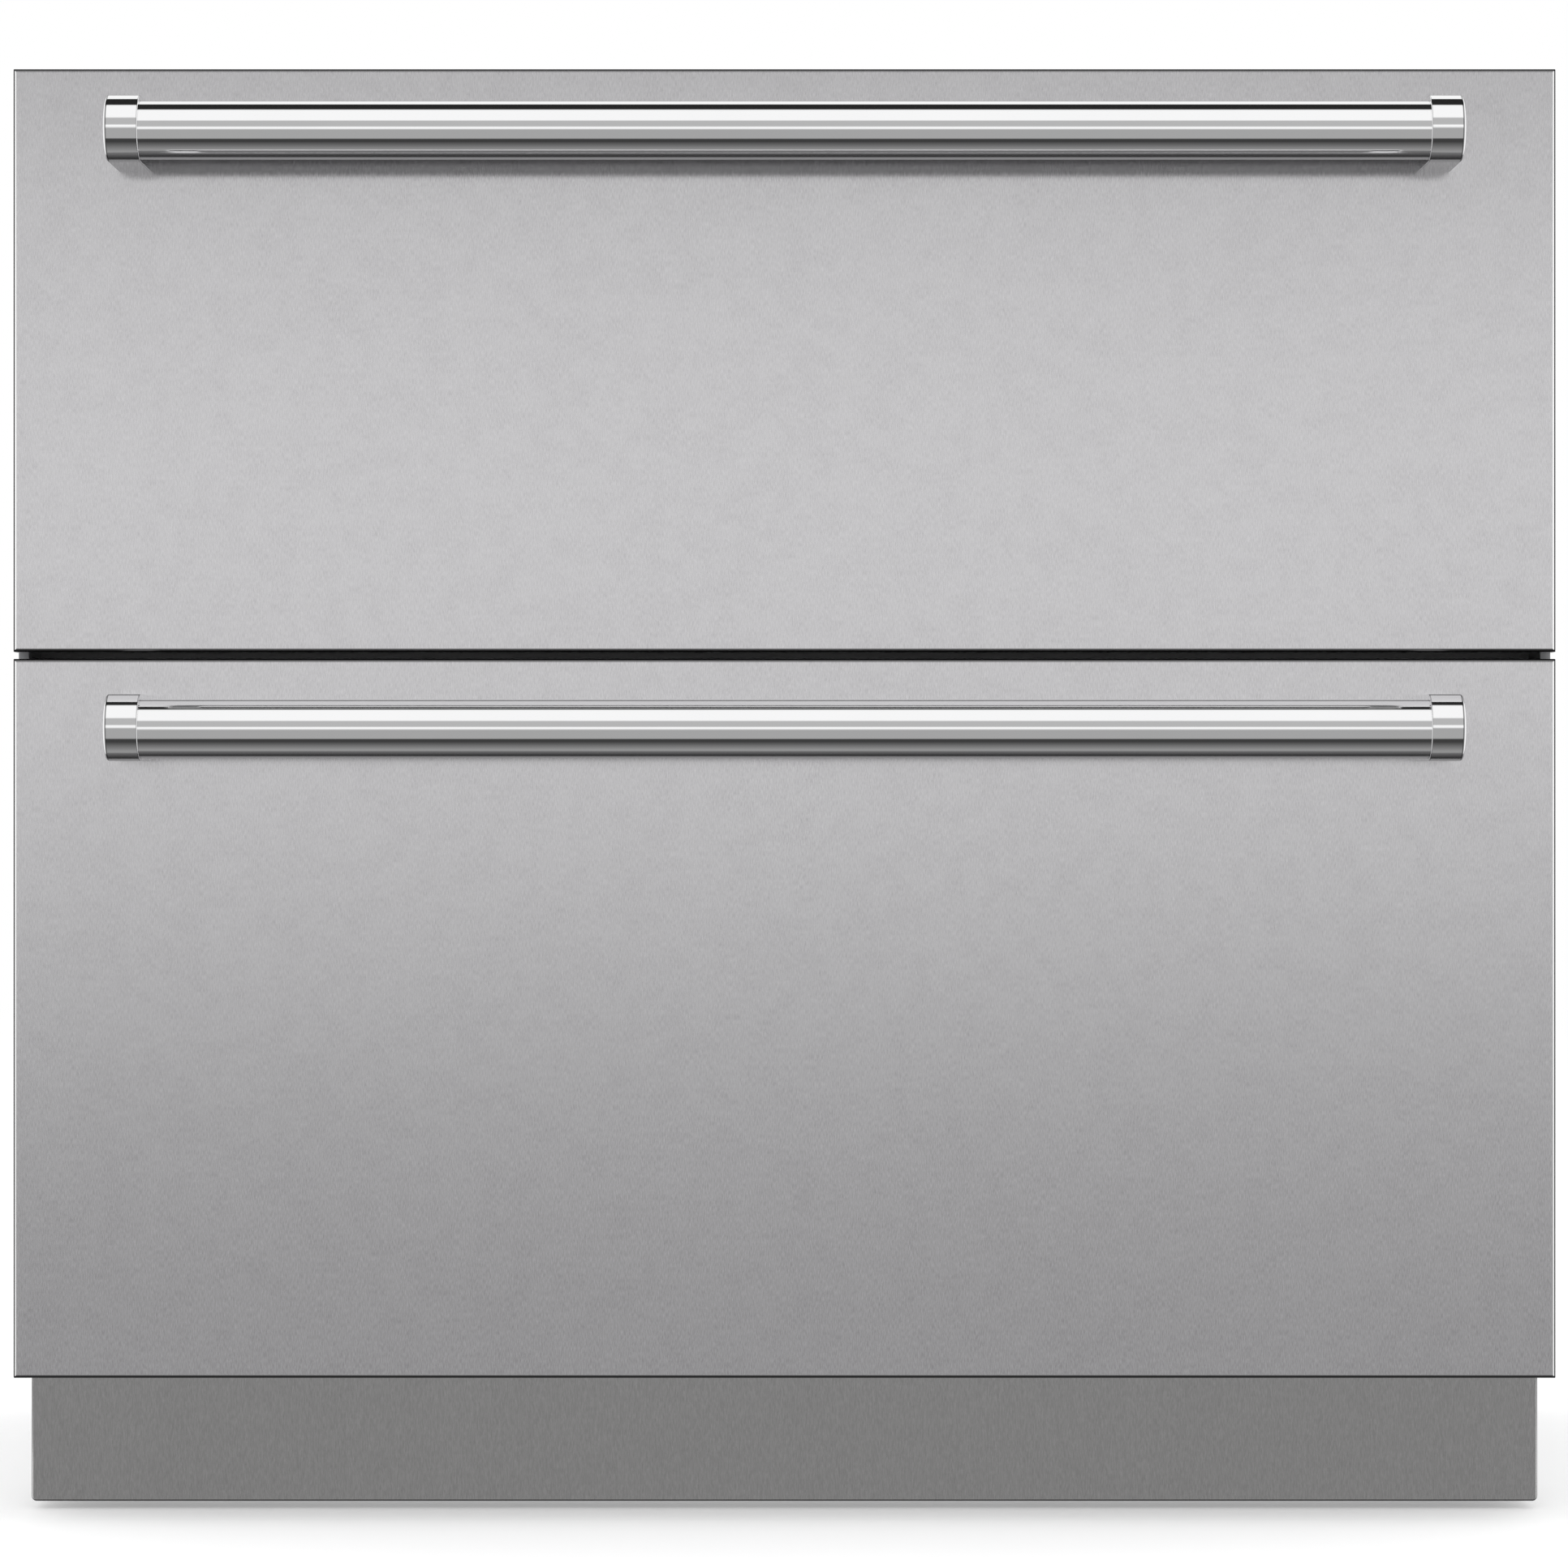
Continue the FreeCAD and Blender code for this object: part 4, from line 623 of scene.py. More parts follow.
def new_group(name: str, inputs: Sequence[Tuple[str, str, Any]],
              outputs: Sequence[Tuple[str, str]]) -> Tuple[bpy.types.NodeTree, Wiring]:
    """Make an empty shader node group with named sockets.

    Args:
        name: Name of the group.
        inputs: Name, type and default of each input.
        outputs: Name and type of each output.

    Returns:
        The group and its wiring.
    """
    tree = bpy.data.node_groups.new(name, "ShaderNodeTree")
    for title, kind, default in inputs:
        socket = tree.interface.new_socket(title, in_out="INPUT", socket_type=f"NodeSocket{kind}")
        socket.default_value = default
    for title, kind in outputs:
        tree.interface.new_socket(title, in_out="OUTPUT", socket_type=f"NodeSocket{kind}")
    return tree, Wiring(tree)


def brush_group() -> bpy.types.NodeTree:
    """Straight brushed grain: streaks that are long one way and fine across.

    Returns:
        A group with a streak mask, a broad mask and a height.
    """
    tree, wiring = new_group("brushed_grain", [
        ("Fine Scale", "Vector", (1500, 1500, 110)), ("Broad Scale", "Vector", (26, 26, 3))],
        [("Streaks", "Float"), ("Broad", "Float"), ("Height", "Float")])
    entry = wiring.add("NodeGroupInput")
    where = wiring.add("ShaderNodeTexCoord").outputs["Object"]
    fine_place = wiring.add("ShaderNodeVectorMath", {0: where, 1: entry.outputs["Fine Scale"]},
                            operation="MULTIPLY")
    broad_place = wiring.add("ShaderNodeVectorMath", {0: where, 1: entry.outputs["Broad Scale"]},
                             operation="MULTIPLY")
    fine = wiring.noise(fine_place.outputs[0], 1.0, 3.0, 0.6)
    broad = wiring.noise(broad_place.outputs[0], 1.0, 4.0, 0.65)
    streaks = wiring.spread(fine, (0.3, 0.7), (0.0, 1.0))
    wide = wiring.spread(broad, (0.3, 0.7), (0.0, 1.0))
    wiring.add("NodeGroupOutput", {"Streaks": streaks, "Broad": wide, "Height": fine})
    return tree


def skin_group() -> bpy.types.NodeTree:
    """Fine unevenness of paint, powder coat or moulded plastic.

    Returns:
        A group with a fine height, and a broad mask for colour and gloss.
    """
    tree, wiring = new_group("surface_grain", [("Fine Scale", "Float", 900.0),
                                               ("Broad Scale", "Float", 9.0)],
                             [("Height", "Float"), ("Cloud", "Float")])
    entry = wiring.add("NodeGroupInput")
    where = wiring.add("ShaderNodeTexCoord").outputs["Object"]
    fine = wiring.noise(where, entry.outputs["Fine Scale"], 2.0)
    broad = wiring.noise(where, entry.outputs["Broad Scale"], 5.0, 0.6)
    cloud = wiring.spread(broad, (0.3, 0.7), (0.0, 1.0))
    wiring.add("NodeGroupOutput", {"Height": fine, "Cloud": cloud})
    return tree


def wear_group() -> bpy.types.NodeTree:
    """Light rubbing along raised edges, broken up by noise.

    Returns:
        A group with one mask.
    """
    tree, wiring = new_group("edge_wear", [("Strength", "Float", 1.0), ("Scale", "Float", 60.0)],
                             [("Mask", "Float")])
    entry = wiring.add("NodeGroupInput")
    bend = wiring.add("ShaderNodeNewGeometry").outputs["Pointiness"]
    where = wiring.add("ShaderNodeTexCoord").outputs["Object"]
    patches = wiring.noise(where, entry.outputs["Scale"], 3.0)
    edge = wiring.spread(bend, (0.52, 0.62), (0.0, 1.0))
    broken = wiring.math("MULTIPLY", edge, wiring.spread(patches, (0.35, 0.6), (0.0, 1.0)))
    mask = wiring.math("MULTIPLY", broken, entry.outputs["Strength"])
    wiring.add("NodeGroupOutput", {"Mask": mask})
    return tree


def dust_group() -> bpy.types.NodeTree:
    """Thin dust on faces that look up.

    Returns:
        A group with one mask.
    """
    tree, wiring = new_group("settled_dust", [("Amount", "Float", 0.2)], [("Mask", "Float")])
    entry = wiring.add("NodeGroupInput")
    normal = wiring.add("ShaderNodeNewGeometry").outputs["Normal"]
    up = wiring.add("ShaderNodeSeparateXYZ", {0: normal}).outputs[2]
    where = wiring.add("ShaderNodeTexCoord").outputs["Object"]
    patches = wiring.noise(where, 30.0, 6.0, 0.7)
    raised = wiring.spread(up, (0.5, 1.0), (0.0, 1.0))
    shaped = wiring.math("MULTIPLY", raised, wiring.spread(patches, (0.3, 0.7), (0.3, 1.0)))
    wiring.add("NodeGroupOutput", {"Mask": wiring.math("MULTIPLY", shaped, entry.outputs["Amount"])})
    return tree


def painted_fold_light_group() -> bpy.types.NodeTree:
    """Painted highlights and painted dark reflections on sheet folds, told by where a face looks: a
    painted highlight beside the front, painted dark reflections outside.

    Returns:
        A group with a painted highlight mask, a painted dark reflection mask and a painted dark
        reflection line along polished edges.
    """
    tree, wiring = new_group("folded_edge", [("Strength", "Float", 1.0)],
                             [("Bright", "Float"), ("Painted_Black_Reflection", "Float"), ("Painted_Reflection_Line", "Float")])
    entry = wiring.add("NodeGroupInput")
    normal = wiring.add("ShaderNodeNewGeometry").outputs["Normal"]
    parts = wiring.add("ShaderNodeSeparateXYZ", {0: normal})
    side = wiring.math("ABSOLUTE", parts.outputs[0])
    # Painted highlight on faces turned a little sideways from the front.
    bright = wiring.math("MULTIPLY", wiring.spread(side, (0.03, 0.08), (0.0, 1.0)),
                         wiring.spread(side, (0.42, 0.52), (1.0, 0.0)))
    # Painted dark reflection on the outer sides, tops and undersides of the folds.
    outer = wiring.spread(side, (0.50, 0.60), (0.0, 1.0))
    upper = wiring.spread(parts.outputs[2], (0.04, 0.50), (0.0, 1.0))
    lower = wiring.spread(parts.outputs[2], (-0.30, -0.02), (0.9, 0.0))
    turned = wiring.math("MAXIMUM", outer, wiring.math("MAXIMUM", upper, lower))
    on_fold = wiring.spread(parts.outputs[1], (-0.05, -0.01), (1.0, 0.0))
    dark = wiring.math("MULTIPLY", turned, on_fold)
    # Painted dark reflection line along polished rounded edges.
    line = wiring.math("MULTIPLY", wiring.spread(side, (0.04, 0.09), (0.0, 1.0)),
                       wiring.spread(side, (0.42, 0.50), (1.0, 0.0)))
    masks = {"Painted_Reflection_Line": line, "Bright": bright, "Painted_Black_Reflection": dark}
    wiring.add("NodeGroupOutput", {name: wiring.math("MULTIPLY", mask, entry.outputs["Strength"])
                                   for name, mask in masks.items()})
    return tree


class Effect(Enum):
    """Shared surface effects, each a node group that is built once."""

    BRUSH = "brushed_grain"
    # Painted highlights and painted dark reflections, set by where a face looks.
    FOLD = "folded_edge"
    SKIN = "surface_grain"
    WEAR = "edge_wear"
    DUST = "settled_dust"

    def tree(self) -> bpy.types.NodeTree:
        """The effect's node group, built when it is first asked for.

        Returns:
            The group.
        """
        builders = {Effect.BRUSH: brush_group, Effect.FOLD: painted_fold_light_group, Effect.SKIN: skin_group,
                    Effect.WEAR: wear_group, Effect.DUST: dust_group}
        return bpy.data.node_groups.get(self.value) or builders[self]()

    def place(self, wiring: Wiring, **values: Any) -> bpy.types.Node:
        """Put this effect into a material.

        Args:
            wiring: The material's wiring.
            values: The group's inputs, with underscores for spaces.

        Returns:
            The group node.
        """
        node = wiring.add("ShaderNodeGroup", node_tree=self.tree())
        for key, value in values.items():
            node.inputs[key.replace("_", " ")].default_value = value
        return node


def new_material(name: str) -> Tuple[bpy.types.Material, Wiring]:
    """Make an empty node material.

    Args:
        name: Name of the material.

    Returns:
        The material and its wiring.
    """
    material = bpy.data.materials.new(name)
    material.use_nodes = True
    material.node_tree.nodes.clear()
    return material, Wiring(material.node_tree)


def close_material(wiring: Wiring, inputs: Dict[Any, Any]) -> None:
    """Finish a material with a Principled shader.

    Args:
        wiring: The material's wiring.
        inputs: The shader's inputs.
    """
    shader = wiring.add("ShaderNodeBsdfPrincipled", inputs)
    wiring.add("ShaderNodeOutputMaterial", {"Surface": shader.outputs[0]})


def shade(colour: Point, factor: float) -> Tuple[float, float, float, float]:
    """A colour made lighter or darker, with full alpha."""
    return (*[min(1.0, part * factor) for part in colour[:3]], 1.0)


# ---- Finishes ----------------------------------------------------------------------------
@dataclass(frozen=True)
class BrushedSteel:
    """Stainless sheet with a straight brushed grain, and a painted highlight and painted dark
    reflections on its folds.
    """

    name: str = "brushed_stainless"
    colour: Colour = (0.60, 0.592, 0.605)
    roughness: float = 0.195
    contrast: float = 0.15
    fine: Point = (2000.0, 2000.0, 300.0)
    broad: Point = (26.0, 26.0, 3.0)
    anisotropy: float = 0.6
    bump: float = 0.01
    rubbed: Colour = (0.78, 0.78, 0.79)
    # Colours of the painted highlight and the painted dark reflection on the folds.
    painted_fold_highlight: Colour = (1, 1, 1)
    painted_fold_black_reflection: Colour = (0.03, 0.03, 0.03)

    def make(self) -> bpy.types.Material:
        """Build the material.

        Returns:
            The material.
        """
        material, wiring = new_material(self.name)
        grain = Effect.BRUSH.place(wiring, Fine_Scale=self.fine, Broad_Scale=self.broad)
        wear = Effect.WEAR.place(wiring, Strength=0.12, Scale=90.0)
        dark, light = shade(self.colour, 1 - self.contrast), shade(self.colour, 1 + self.contrast)
        streaked = wiring.mix(grain.outputs["Streaks"], dark, light)
        clouded = wiring.mix(wiring.math("MULTIPLY", grain.outputs["Broad"], 0.35), streaked,
                             wiring.mix(0.06, streaked, (1, 1, 1)))
        worn = wiring.mix(wear.outputs["Mask"], clouded, self.rubbed)
        # Painted highlight and painted dark reflection on the folds, by where each face looks.
        fold = Effect.FOLD.place(wiring)
        lit = wiring.mix(fold.outputs["Bright"], worn, self.painted_fold_highlight)
        colour = wiring.mix(fold.outputs["Painted_Black_Reflection"], lit, self.painted_fold_black_reflection)
        gloss = wiring.spread(grain.outputs["Streaks"], (0, 1),
                              (self.roughness - 0.015, self.roughness + 0.02))
        bump = wiring.bump(grain.outputs["Height"], self.bump, 0.5 * MM)
        close_material(wiring, {"Base Color": colour, "Metallic": 1.0, "Roughness": gloss,
                                "Anisotropic": self.anisotropy, "Normal": bump})
        return material


@dataclass(frozen=True)
class PolishedMetal:
    """Plated or polished metal with faint smudges, and an optional painted dark reflection line along
    rounded edges.
    """

    name: str
    colour: Colour
    roughness: float = 0.035
    smudge: float = 0.03
    scale: float = 14.0
    # Strength and colour of a painted dark reflection line along rounded edges.
    painted_line_strength: float = 0.0
    painted_line_colour: Colour = (0.02, 0.02, 0.02)

    def make(self) -> bpy.types.Material:
        """Build the material.

        Returns:
            The material.
        """
        material, wiring = new_material(self.name)
        skin = Effect.SKIN.place(wiring, Fine_Scale=400.0, Broad_Scale=self.scale)
        wear = Effect.WEAR.place(wiring, Strength=0.1)
        tinted = wiring.mix(skin.outputs["Cloud"], self.colour, shade(self.colour, 0.985))
        worn = wiring.mix(wear.outputs["Mask"], tinted, shade(self.colour, 0.93))
        # Painted dark reflection line along the rounded edges.
        fold = Effect.FOLD.place(wiring, Strength=self.painted_line_strength)
        colour = wiring.mix(fold.outputs["Painted_Reflection_Line"], worn, self.painted_line_colour)
        gloss = wiring.spread(skin.outputs["Cloud"], (0, 1),
                              (self.roughness, self.roughness + self.smudge))
        bump = wiring.bump(skin.outputs["Cloud"], 0.02, 0.4 * MM)
        close_material(wiring, {"Base Color": colour, "Metallic": 1.0, "Roughness": gloss,
                                "Normal": bump})
        return material


@dataclass(frozen=True)
class CoatedSteel:
    """Painted or powder-coated steel with a fine texture and light rubbing on edges."""

    name: str
    colour: Colour
    roughness: float = 0.42
    texture: float = 700.0
    bump: float = 0.12
    wear: float = 0.35
    dust: float = 0.10
    dust_colour: Colour = (0.62, 0.60, 0.57)

    def make(self) -> bpy.types.Material:
        """Build the material.

        Returns:
            The material.
        """
        material, wiring = new_material(self.name)
        skin = Effect.SKIN.place(wiring, Fine_Scale=self.texture, Broad_Scale=7.0)
        wear = Effect.WEAR.place(wiring, Strength=self.wear, Scale=70.0)
        dust = Effect.DUST.place(wiring, Amount=self.dust)
        clouded = wiring.mix(skin.outputs["Cloud"], shade(self.colour, 0.96), shade(self.colour, 1.04))
        worn = wiring.mix(wear.outputs["Mask"], clouded, shade(self.colour, 1.5))
        colour = wiring.mix(dust.outputs["Mask"], worn, self.dust_colour)
        gloss = wiring.spread(skin.outputs["Cloud"], (0, 1),
                              (self.roughness - 0.03, self.roughness + 0.06))
        bump = wiring.bump(skin.outputs["Height"], self.bump, 0.2 * MM)
        close_material(wiring, {"Base Color": colour, "Metallic": 0.0, "Roughness": gloss,
                                "Normal": bump})
        return material


@dataclass(frozen=True)
class ZincSheet:
    """Galvanised or zinc-plated steel with crystal patches."""

    name: str
    colour: Colour = (0.60, 0.61, 0.62)
    patch: float = 210.0
    roughness: float = 0.38
    contrast: float = 0.045
    dust: float = 0.10
    gloss_spread: float = 0.03
    dust_colour: Colour = (0.55, 0.53, 0.50)

    def make(self) -> bpy.types.Material:
        """Build the material.

        Returns:
            The material.
        """
        material, wiring = new_material(self.name)
        where = wiring.add("ShaderNodeTexCoord").outputs["Object"]
        crystals = wiring.add("ShaderNodeTexVoronoi", {"Vector": where, "Scale": self.patch,
                                                       "Randomness": 1.0})
        value = wiring.add("ShaderNodeSeparateColor", {0: crystals.outputs["Color"]}).outputs[0]
        skin = Effect.SKIN.place(wiring, Fine_Scale=500.0, Broad_Scale=6.0)
        dust = Effect.DUST.place(wiring, Amount=self.dust)
        spangled = wiring.mix(value, shade(self.colour, 1 - self.contrast),
                              shade(self.colour, 1 + self.contrast))
        clouded = wiring.mix(wiring.math("MULTIPLY", skin.outputs["Cloud"], 0.3), spangled,
                             shade(self.colour, 0.85))
        colour = wiring.mix(dust.outputs["Mask"], clouded, self.dust_colour)
        gloss = wiring.spread(value, (0, 1), (self.roughness - self.gloss_spread,
                                          self.roughness + self.gloss_spread))
        bump = wiring.bump(skin.outputs["Height"], 0.02, 0.1 * MM)
        close_material(wiring, {"Base Color": colour, "Metallic": 0.9, "Roughness": gloss,
                                "Normal": bump})
        return material


@dataclass(frozen=True)
class MouldedPlastic:
    """Opaque moulded plastic or rubber with a fine moulded texture."""

    name: str
    colour: Colour
    roughness: float = 0.35
    texture: float = 1100.0
    bump: float = 0.10
    dust: float = 0.05
    coat: float = 0.0
    wear: float = 0.15
    dust_colour: Colour = (0.60, 0.58, 0.55)

    def make(self) -> bpy.types.Material:
        """Build the material.

        Returns:
            The material.
        """
        material, wiring = new_material(self.name)
        skin = Effect.SKIN.place(wiring, Fine_Scale=self.texture, Broad_Scale=11.0)
        dust = Effect.DUST.place(wiring, Amount=self.dust)
        wear = Effect.WEAR.place(wiring, Strength=self.wear, Scale=120.0)
        clouded = wiring.mix(skin.outputs["Cloud"], shade(self.colour, 0.975), shade(self.colour, 1.02))
        rubbed = wiring.mix(wear.outputs["Mask"], clouded, shade(self.colour, 1.25))
        colour = wiring.mix(dust.outputs["Mask"], rubbed, self.dust_colour)
        gloss = wiring.spread(skin.outputs["Cloud"], (0, 1),
                              (self.roughness - 0.03, self.roughness + 0.05))
        bump = wiring.bump(skin.outputs["Height"], self.bump, 0.2 * MM)
        close_material(wiring, {"Base Color": colour, "Metallic": 0.0, "Roughness": gloss,
                                "Coat Weight": self.coat, "Normal": bump})
        return material


@dataclass(frozen=True)
class ClearPlastic:
    """Clear or frosted moulded plastic."""

    name: str
    colour: Colour = (0.90, 0.93, 0.94)
    roughness: float = 0.12
    clear: float = 0.8
    ior: float = 1.49

    def make(self) -> bpy.types.Material:
        """Build the material.

        Returns:
            The material.
        """
        material, wiring = new_material(self.name)
        skin = Effect.SKIN.place(wiring, Fine_Scale=600.0, Broad_Scale=8.0)
        colour = wiring.mix(skin.outputs["Cloud"], self.colour, shade(self.colour, 0.97))
        gloss = wiring.spread(skin.outputs["Cloud"], (0, 1),
                              (self.roughness, self.roughness + 0.06))
        bump = wiring.bump(skin.outputs["Height"], 0.03, 0.2 * MM)
        close_material(wiring, {"Base Color": colour, "Metallic": 0.0, "Roughness": gloss,
                                "IOR": self.ior, "Transmission Weight": self.clear,
                                "Normal": bump})
        return material


@dataclass(frozen=True)
class InsulationFoam:
    """Rigid foam with small cells."""

    name: str = "insulation_foam"
    colour: Colour = (0.86, 0.78, 0.55)

    def make(self) -> bpy.types.Material:
        """Build the material.

        Returns:
            The material.
        """
        material, wiring = new_material(self.name)
        where = wiring.add("ShaderNodeTexCoord").outputs["Object"]
        cells = wiring.add("ShaderNodeTexVoronoi", {"Vector": where, "Scale": 700.0})
        skin = Effect.SKIN.place(wiring, Fine_Scale=300.0, Broad_Scale=12.0)
        colour = wiring.mix(skin.outputs["Cloud"], shade(self.colour, 0.9), shade(self.colour, 1.05))
        rough = wiring.spread(skin.outputs["Cloud"], (0, 1), (0.8, 0.95))
        bump = wiring.bump(cells.outputs["Distance"], 0.5, 0.4 * MM)
        close_material(wiring, {"Base Color": colour, "Metallic": 0.0, "Roughness": rough,
                                "Normal": bump})
        return material


class Palette:
    """Every finish of the object, by material slot, with one more for the kickplate."""

    def __init__(self) -> None:
        """Build all materials once."""
        finishes = {
            "stainless": BrushedSteel(),
            "kick_stainless": BrushedSteel("brushed_kickplate", (0.455, 0.450, 0.448),
                                           contrast=0.11),
            # The chrome gets a painted dark reflection line along its rounded edges.
            "handle_chrome": PolishedMetal("polished_chrome", (0.93, 0.93, 0.935), painted_line_strength=0.75),
            "shell_steel": CoatedSteel("coated_grey_steel", (0.36, 0.365, 0.375)),
            "frame_steel": CoatedSteel("light_grey_frame_paint", (0.50, 0.51, 0.52),
                                       roughness=0.36),
            "galvanised": ZincSheet("galvanised_sheet"),
            "foam": InsulationFoam(),
            "liner_white": MouldedPlastic("white_liner", (0.80, 0.80, 0.79), roughness=0.28,
                                          texture=900, bump=0.05, dust=0.0, wear=0.0),
            "gasket_grey": MouldedPlastic("seal_rubber", (0.13, 0.13, 0.135), roughness=0.55,
                                          texture=1500, bump=0.12, dust=0.02),
            "rail_steel": ZincSheet("zinc_plated_rail", (0.66, 0.67, 0.68), patch=300,
                                    roughness=0.34, contrast=0.03, dust=0.02, gloss_spread=0.02),
            "carrier_steel": CoatedSteel("powder_coated_carrier", (0.55, 0.56, 0.57),
                                         roughness=0.45, texture=900, bump=0.2, wear=0.3,
                                         dust=0.04),
            "bin_clear": ClearPlastic("frosted_bin", (0.86, 0.89, 0.91), roughness=0.32,
                                      clear=0.45),
            "divider_clear": ClearPlastic("clear_divider", (0.93, 0.96, 0.97), roughness=0.06,
                                          clear=0.9),
            "gear_plastic": MouldedPlastic("acetal_gear", (0.78, 0.77, 0.74), roughness=0.38),
            "duct_white": MouldedPlastic("white_air_duct", (0.76, 0.76, 0.75), roughness=0.42,
                                         texture=1000, bump=0.12),
            "aluminium": ZincSheet("mill_aluminium", (0.80, 0.81, 0.82), patch=400,
                                   roughness=0.34, contrast=0.04),
            "motor_black": CoatedSteel("black_enamel", (0.025, 0.025, 0.028), roughness=0.35,
                                       texture=600, bump=0.15, wear=0.3, dust=0.12),
            "fan_plastic": MouldedPlastic("black_fan_plastic", (0.035, 0.035, 0.038),
                                          roughness=0.42),
            "copper": PolishedMetal("drawn_copper", (0.80, 0.45, 0.29), roughness=0.24,
                                    smudge=0.14, scale=40.0),
            "lens": MouldedPlastic("frosted_lens", (0.86, 0.86, 0.83), roughness=0.30,
                                   texture=1300, bump=0.08),
            "panel_plastic": MouldedPlastic("black_panel", (0.04, 0.04, 0.043), roughness=0.2,
                                            texture=900, bump=0.03, dust=0.02, coat=0.3),
            "button_grey": MouldedPlastic("grey_button", (0.55, 0.56, 0.57), roughness=0.4),
            "foot_plastic": MouldedPlastic("black_foot", (0.05, 0.05, 0.052), roughness=0.5,
                                           texture=800, bump=0.2, dust=0.2),
            "screw_steel": ZincSheet("zinc_plated_screw", (0.66, 0.66, 0.67), patch=600,
                                     roughness=0.3, contrast=0.05, dust=0.05),
            "pan_plastic": MouldedPlastic("drain_pan_plastic", (0.12, 0.12, 0.125),
                                          roughness=0.45),
        }
        self.materials = {slot: finish.make() for slot, finish in finishes.items()}

    def __getitem__(self, slot: str) -> bpy.types.Material:
        """The material of a slot."""
        return self.materials[slot]


class Fitter:
    """Gives pieces their finish and their body, and hides the CAD nodes that they stand for."""

    def __init__(self, palette: Palette) -> None:
        """Keep the palette, and know each node's body and slot.

        Args:
            palette: Every finish of the object.
        """
        self.palette = palette
        record = frame["record"]
        self.slots = {part["node"]: part["material_slot"] for part in record["subparts"]}
        self.bodies = {node: body for body, nodes in record["behaviour"]["bodies"].items()
                       for node in nodes}
        self.left = set(self.slots)

    def fit(self, piece: bpy.types.Object, *nodes: str,
            finish: Optional[str] = None) -> bpy.types.Object:
        """Dress a finished piece.

        Args:
            piece: The object, at the origin.
            nodes: CAD nodes that it stands for.
            finish: Name of its finish, or None for its first node's slot.

        Returns:
            The same object.
        """
        slot = self.slots[nodes[0]]
        piece.data.materials.clear()
        piece.data.materials.append(self.palette[finish or slot])
        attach(piece, self.bodies[nodes[0]])
        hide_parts(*nodes)
        self.left -= set(nodes)
        LOG.info("%s: %d faces, %s", piece.name, len(piece.data.polygons), slot)
        return piece

    def fit_copy(self, node: str, name: str, width: float, steps: int = 2,
                 limit: float = BEVELLED, angle: float = CREASED) -> bpy.types.Object:
        """Dress a copy of a CAD node that only has its edges softened.

        Args:
            node: The CAD node.
            name: Name of the new piece.
            width: Width of the bevel.
            steps: How many segments it has.
            limit: Edges less sharp than this, in degrees, are left.
            angle: Edges sharper than this, in degrees, stay sharp in the shading.

        Returns:
            The new object.
        """
        return self.fit(softened_copy(node, name, width, steps, limit, angle), node)

    def keep(self, *nodes: str) -> None:
        """Give CAD nodes that stay as they are their own finish.

        Args:
            nodes: The CAD nodes.
        """
        for node in nodes:
            kept = frame["nodes"][node]
            material = self.palette[self.slots[node]]
            if not kept.data.materials:
                kept.data.materials.append(material)
            for index in range(len(kept.data.materials)):
                kept.data.materials[index] = material
            self.left.discard(node)
            LOG.info("%s stays, %s", node, material.name)


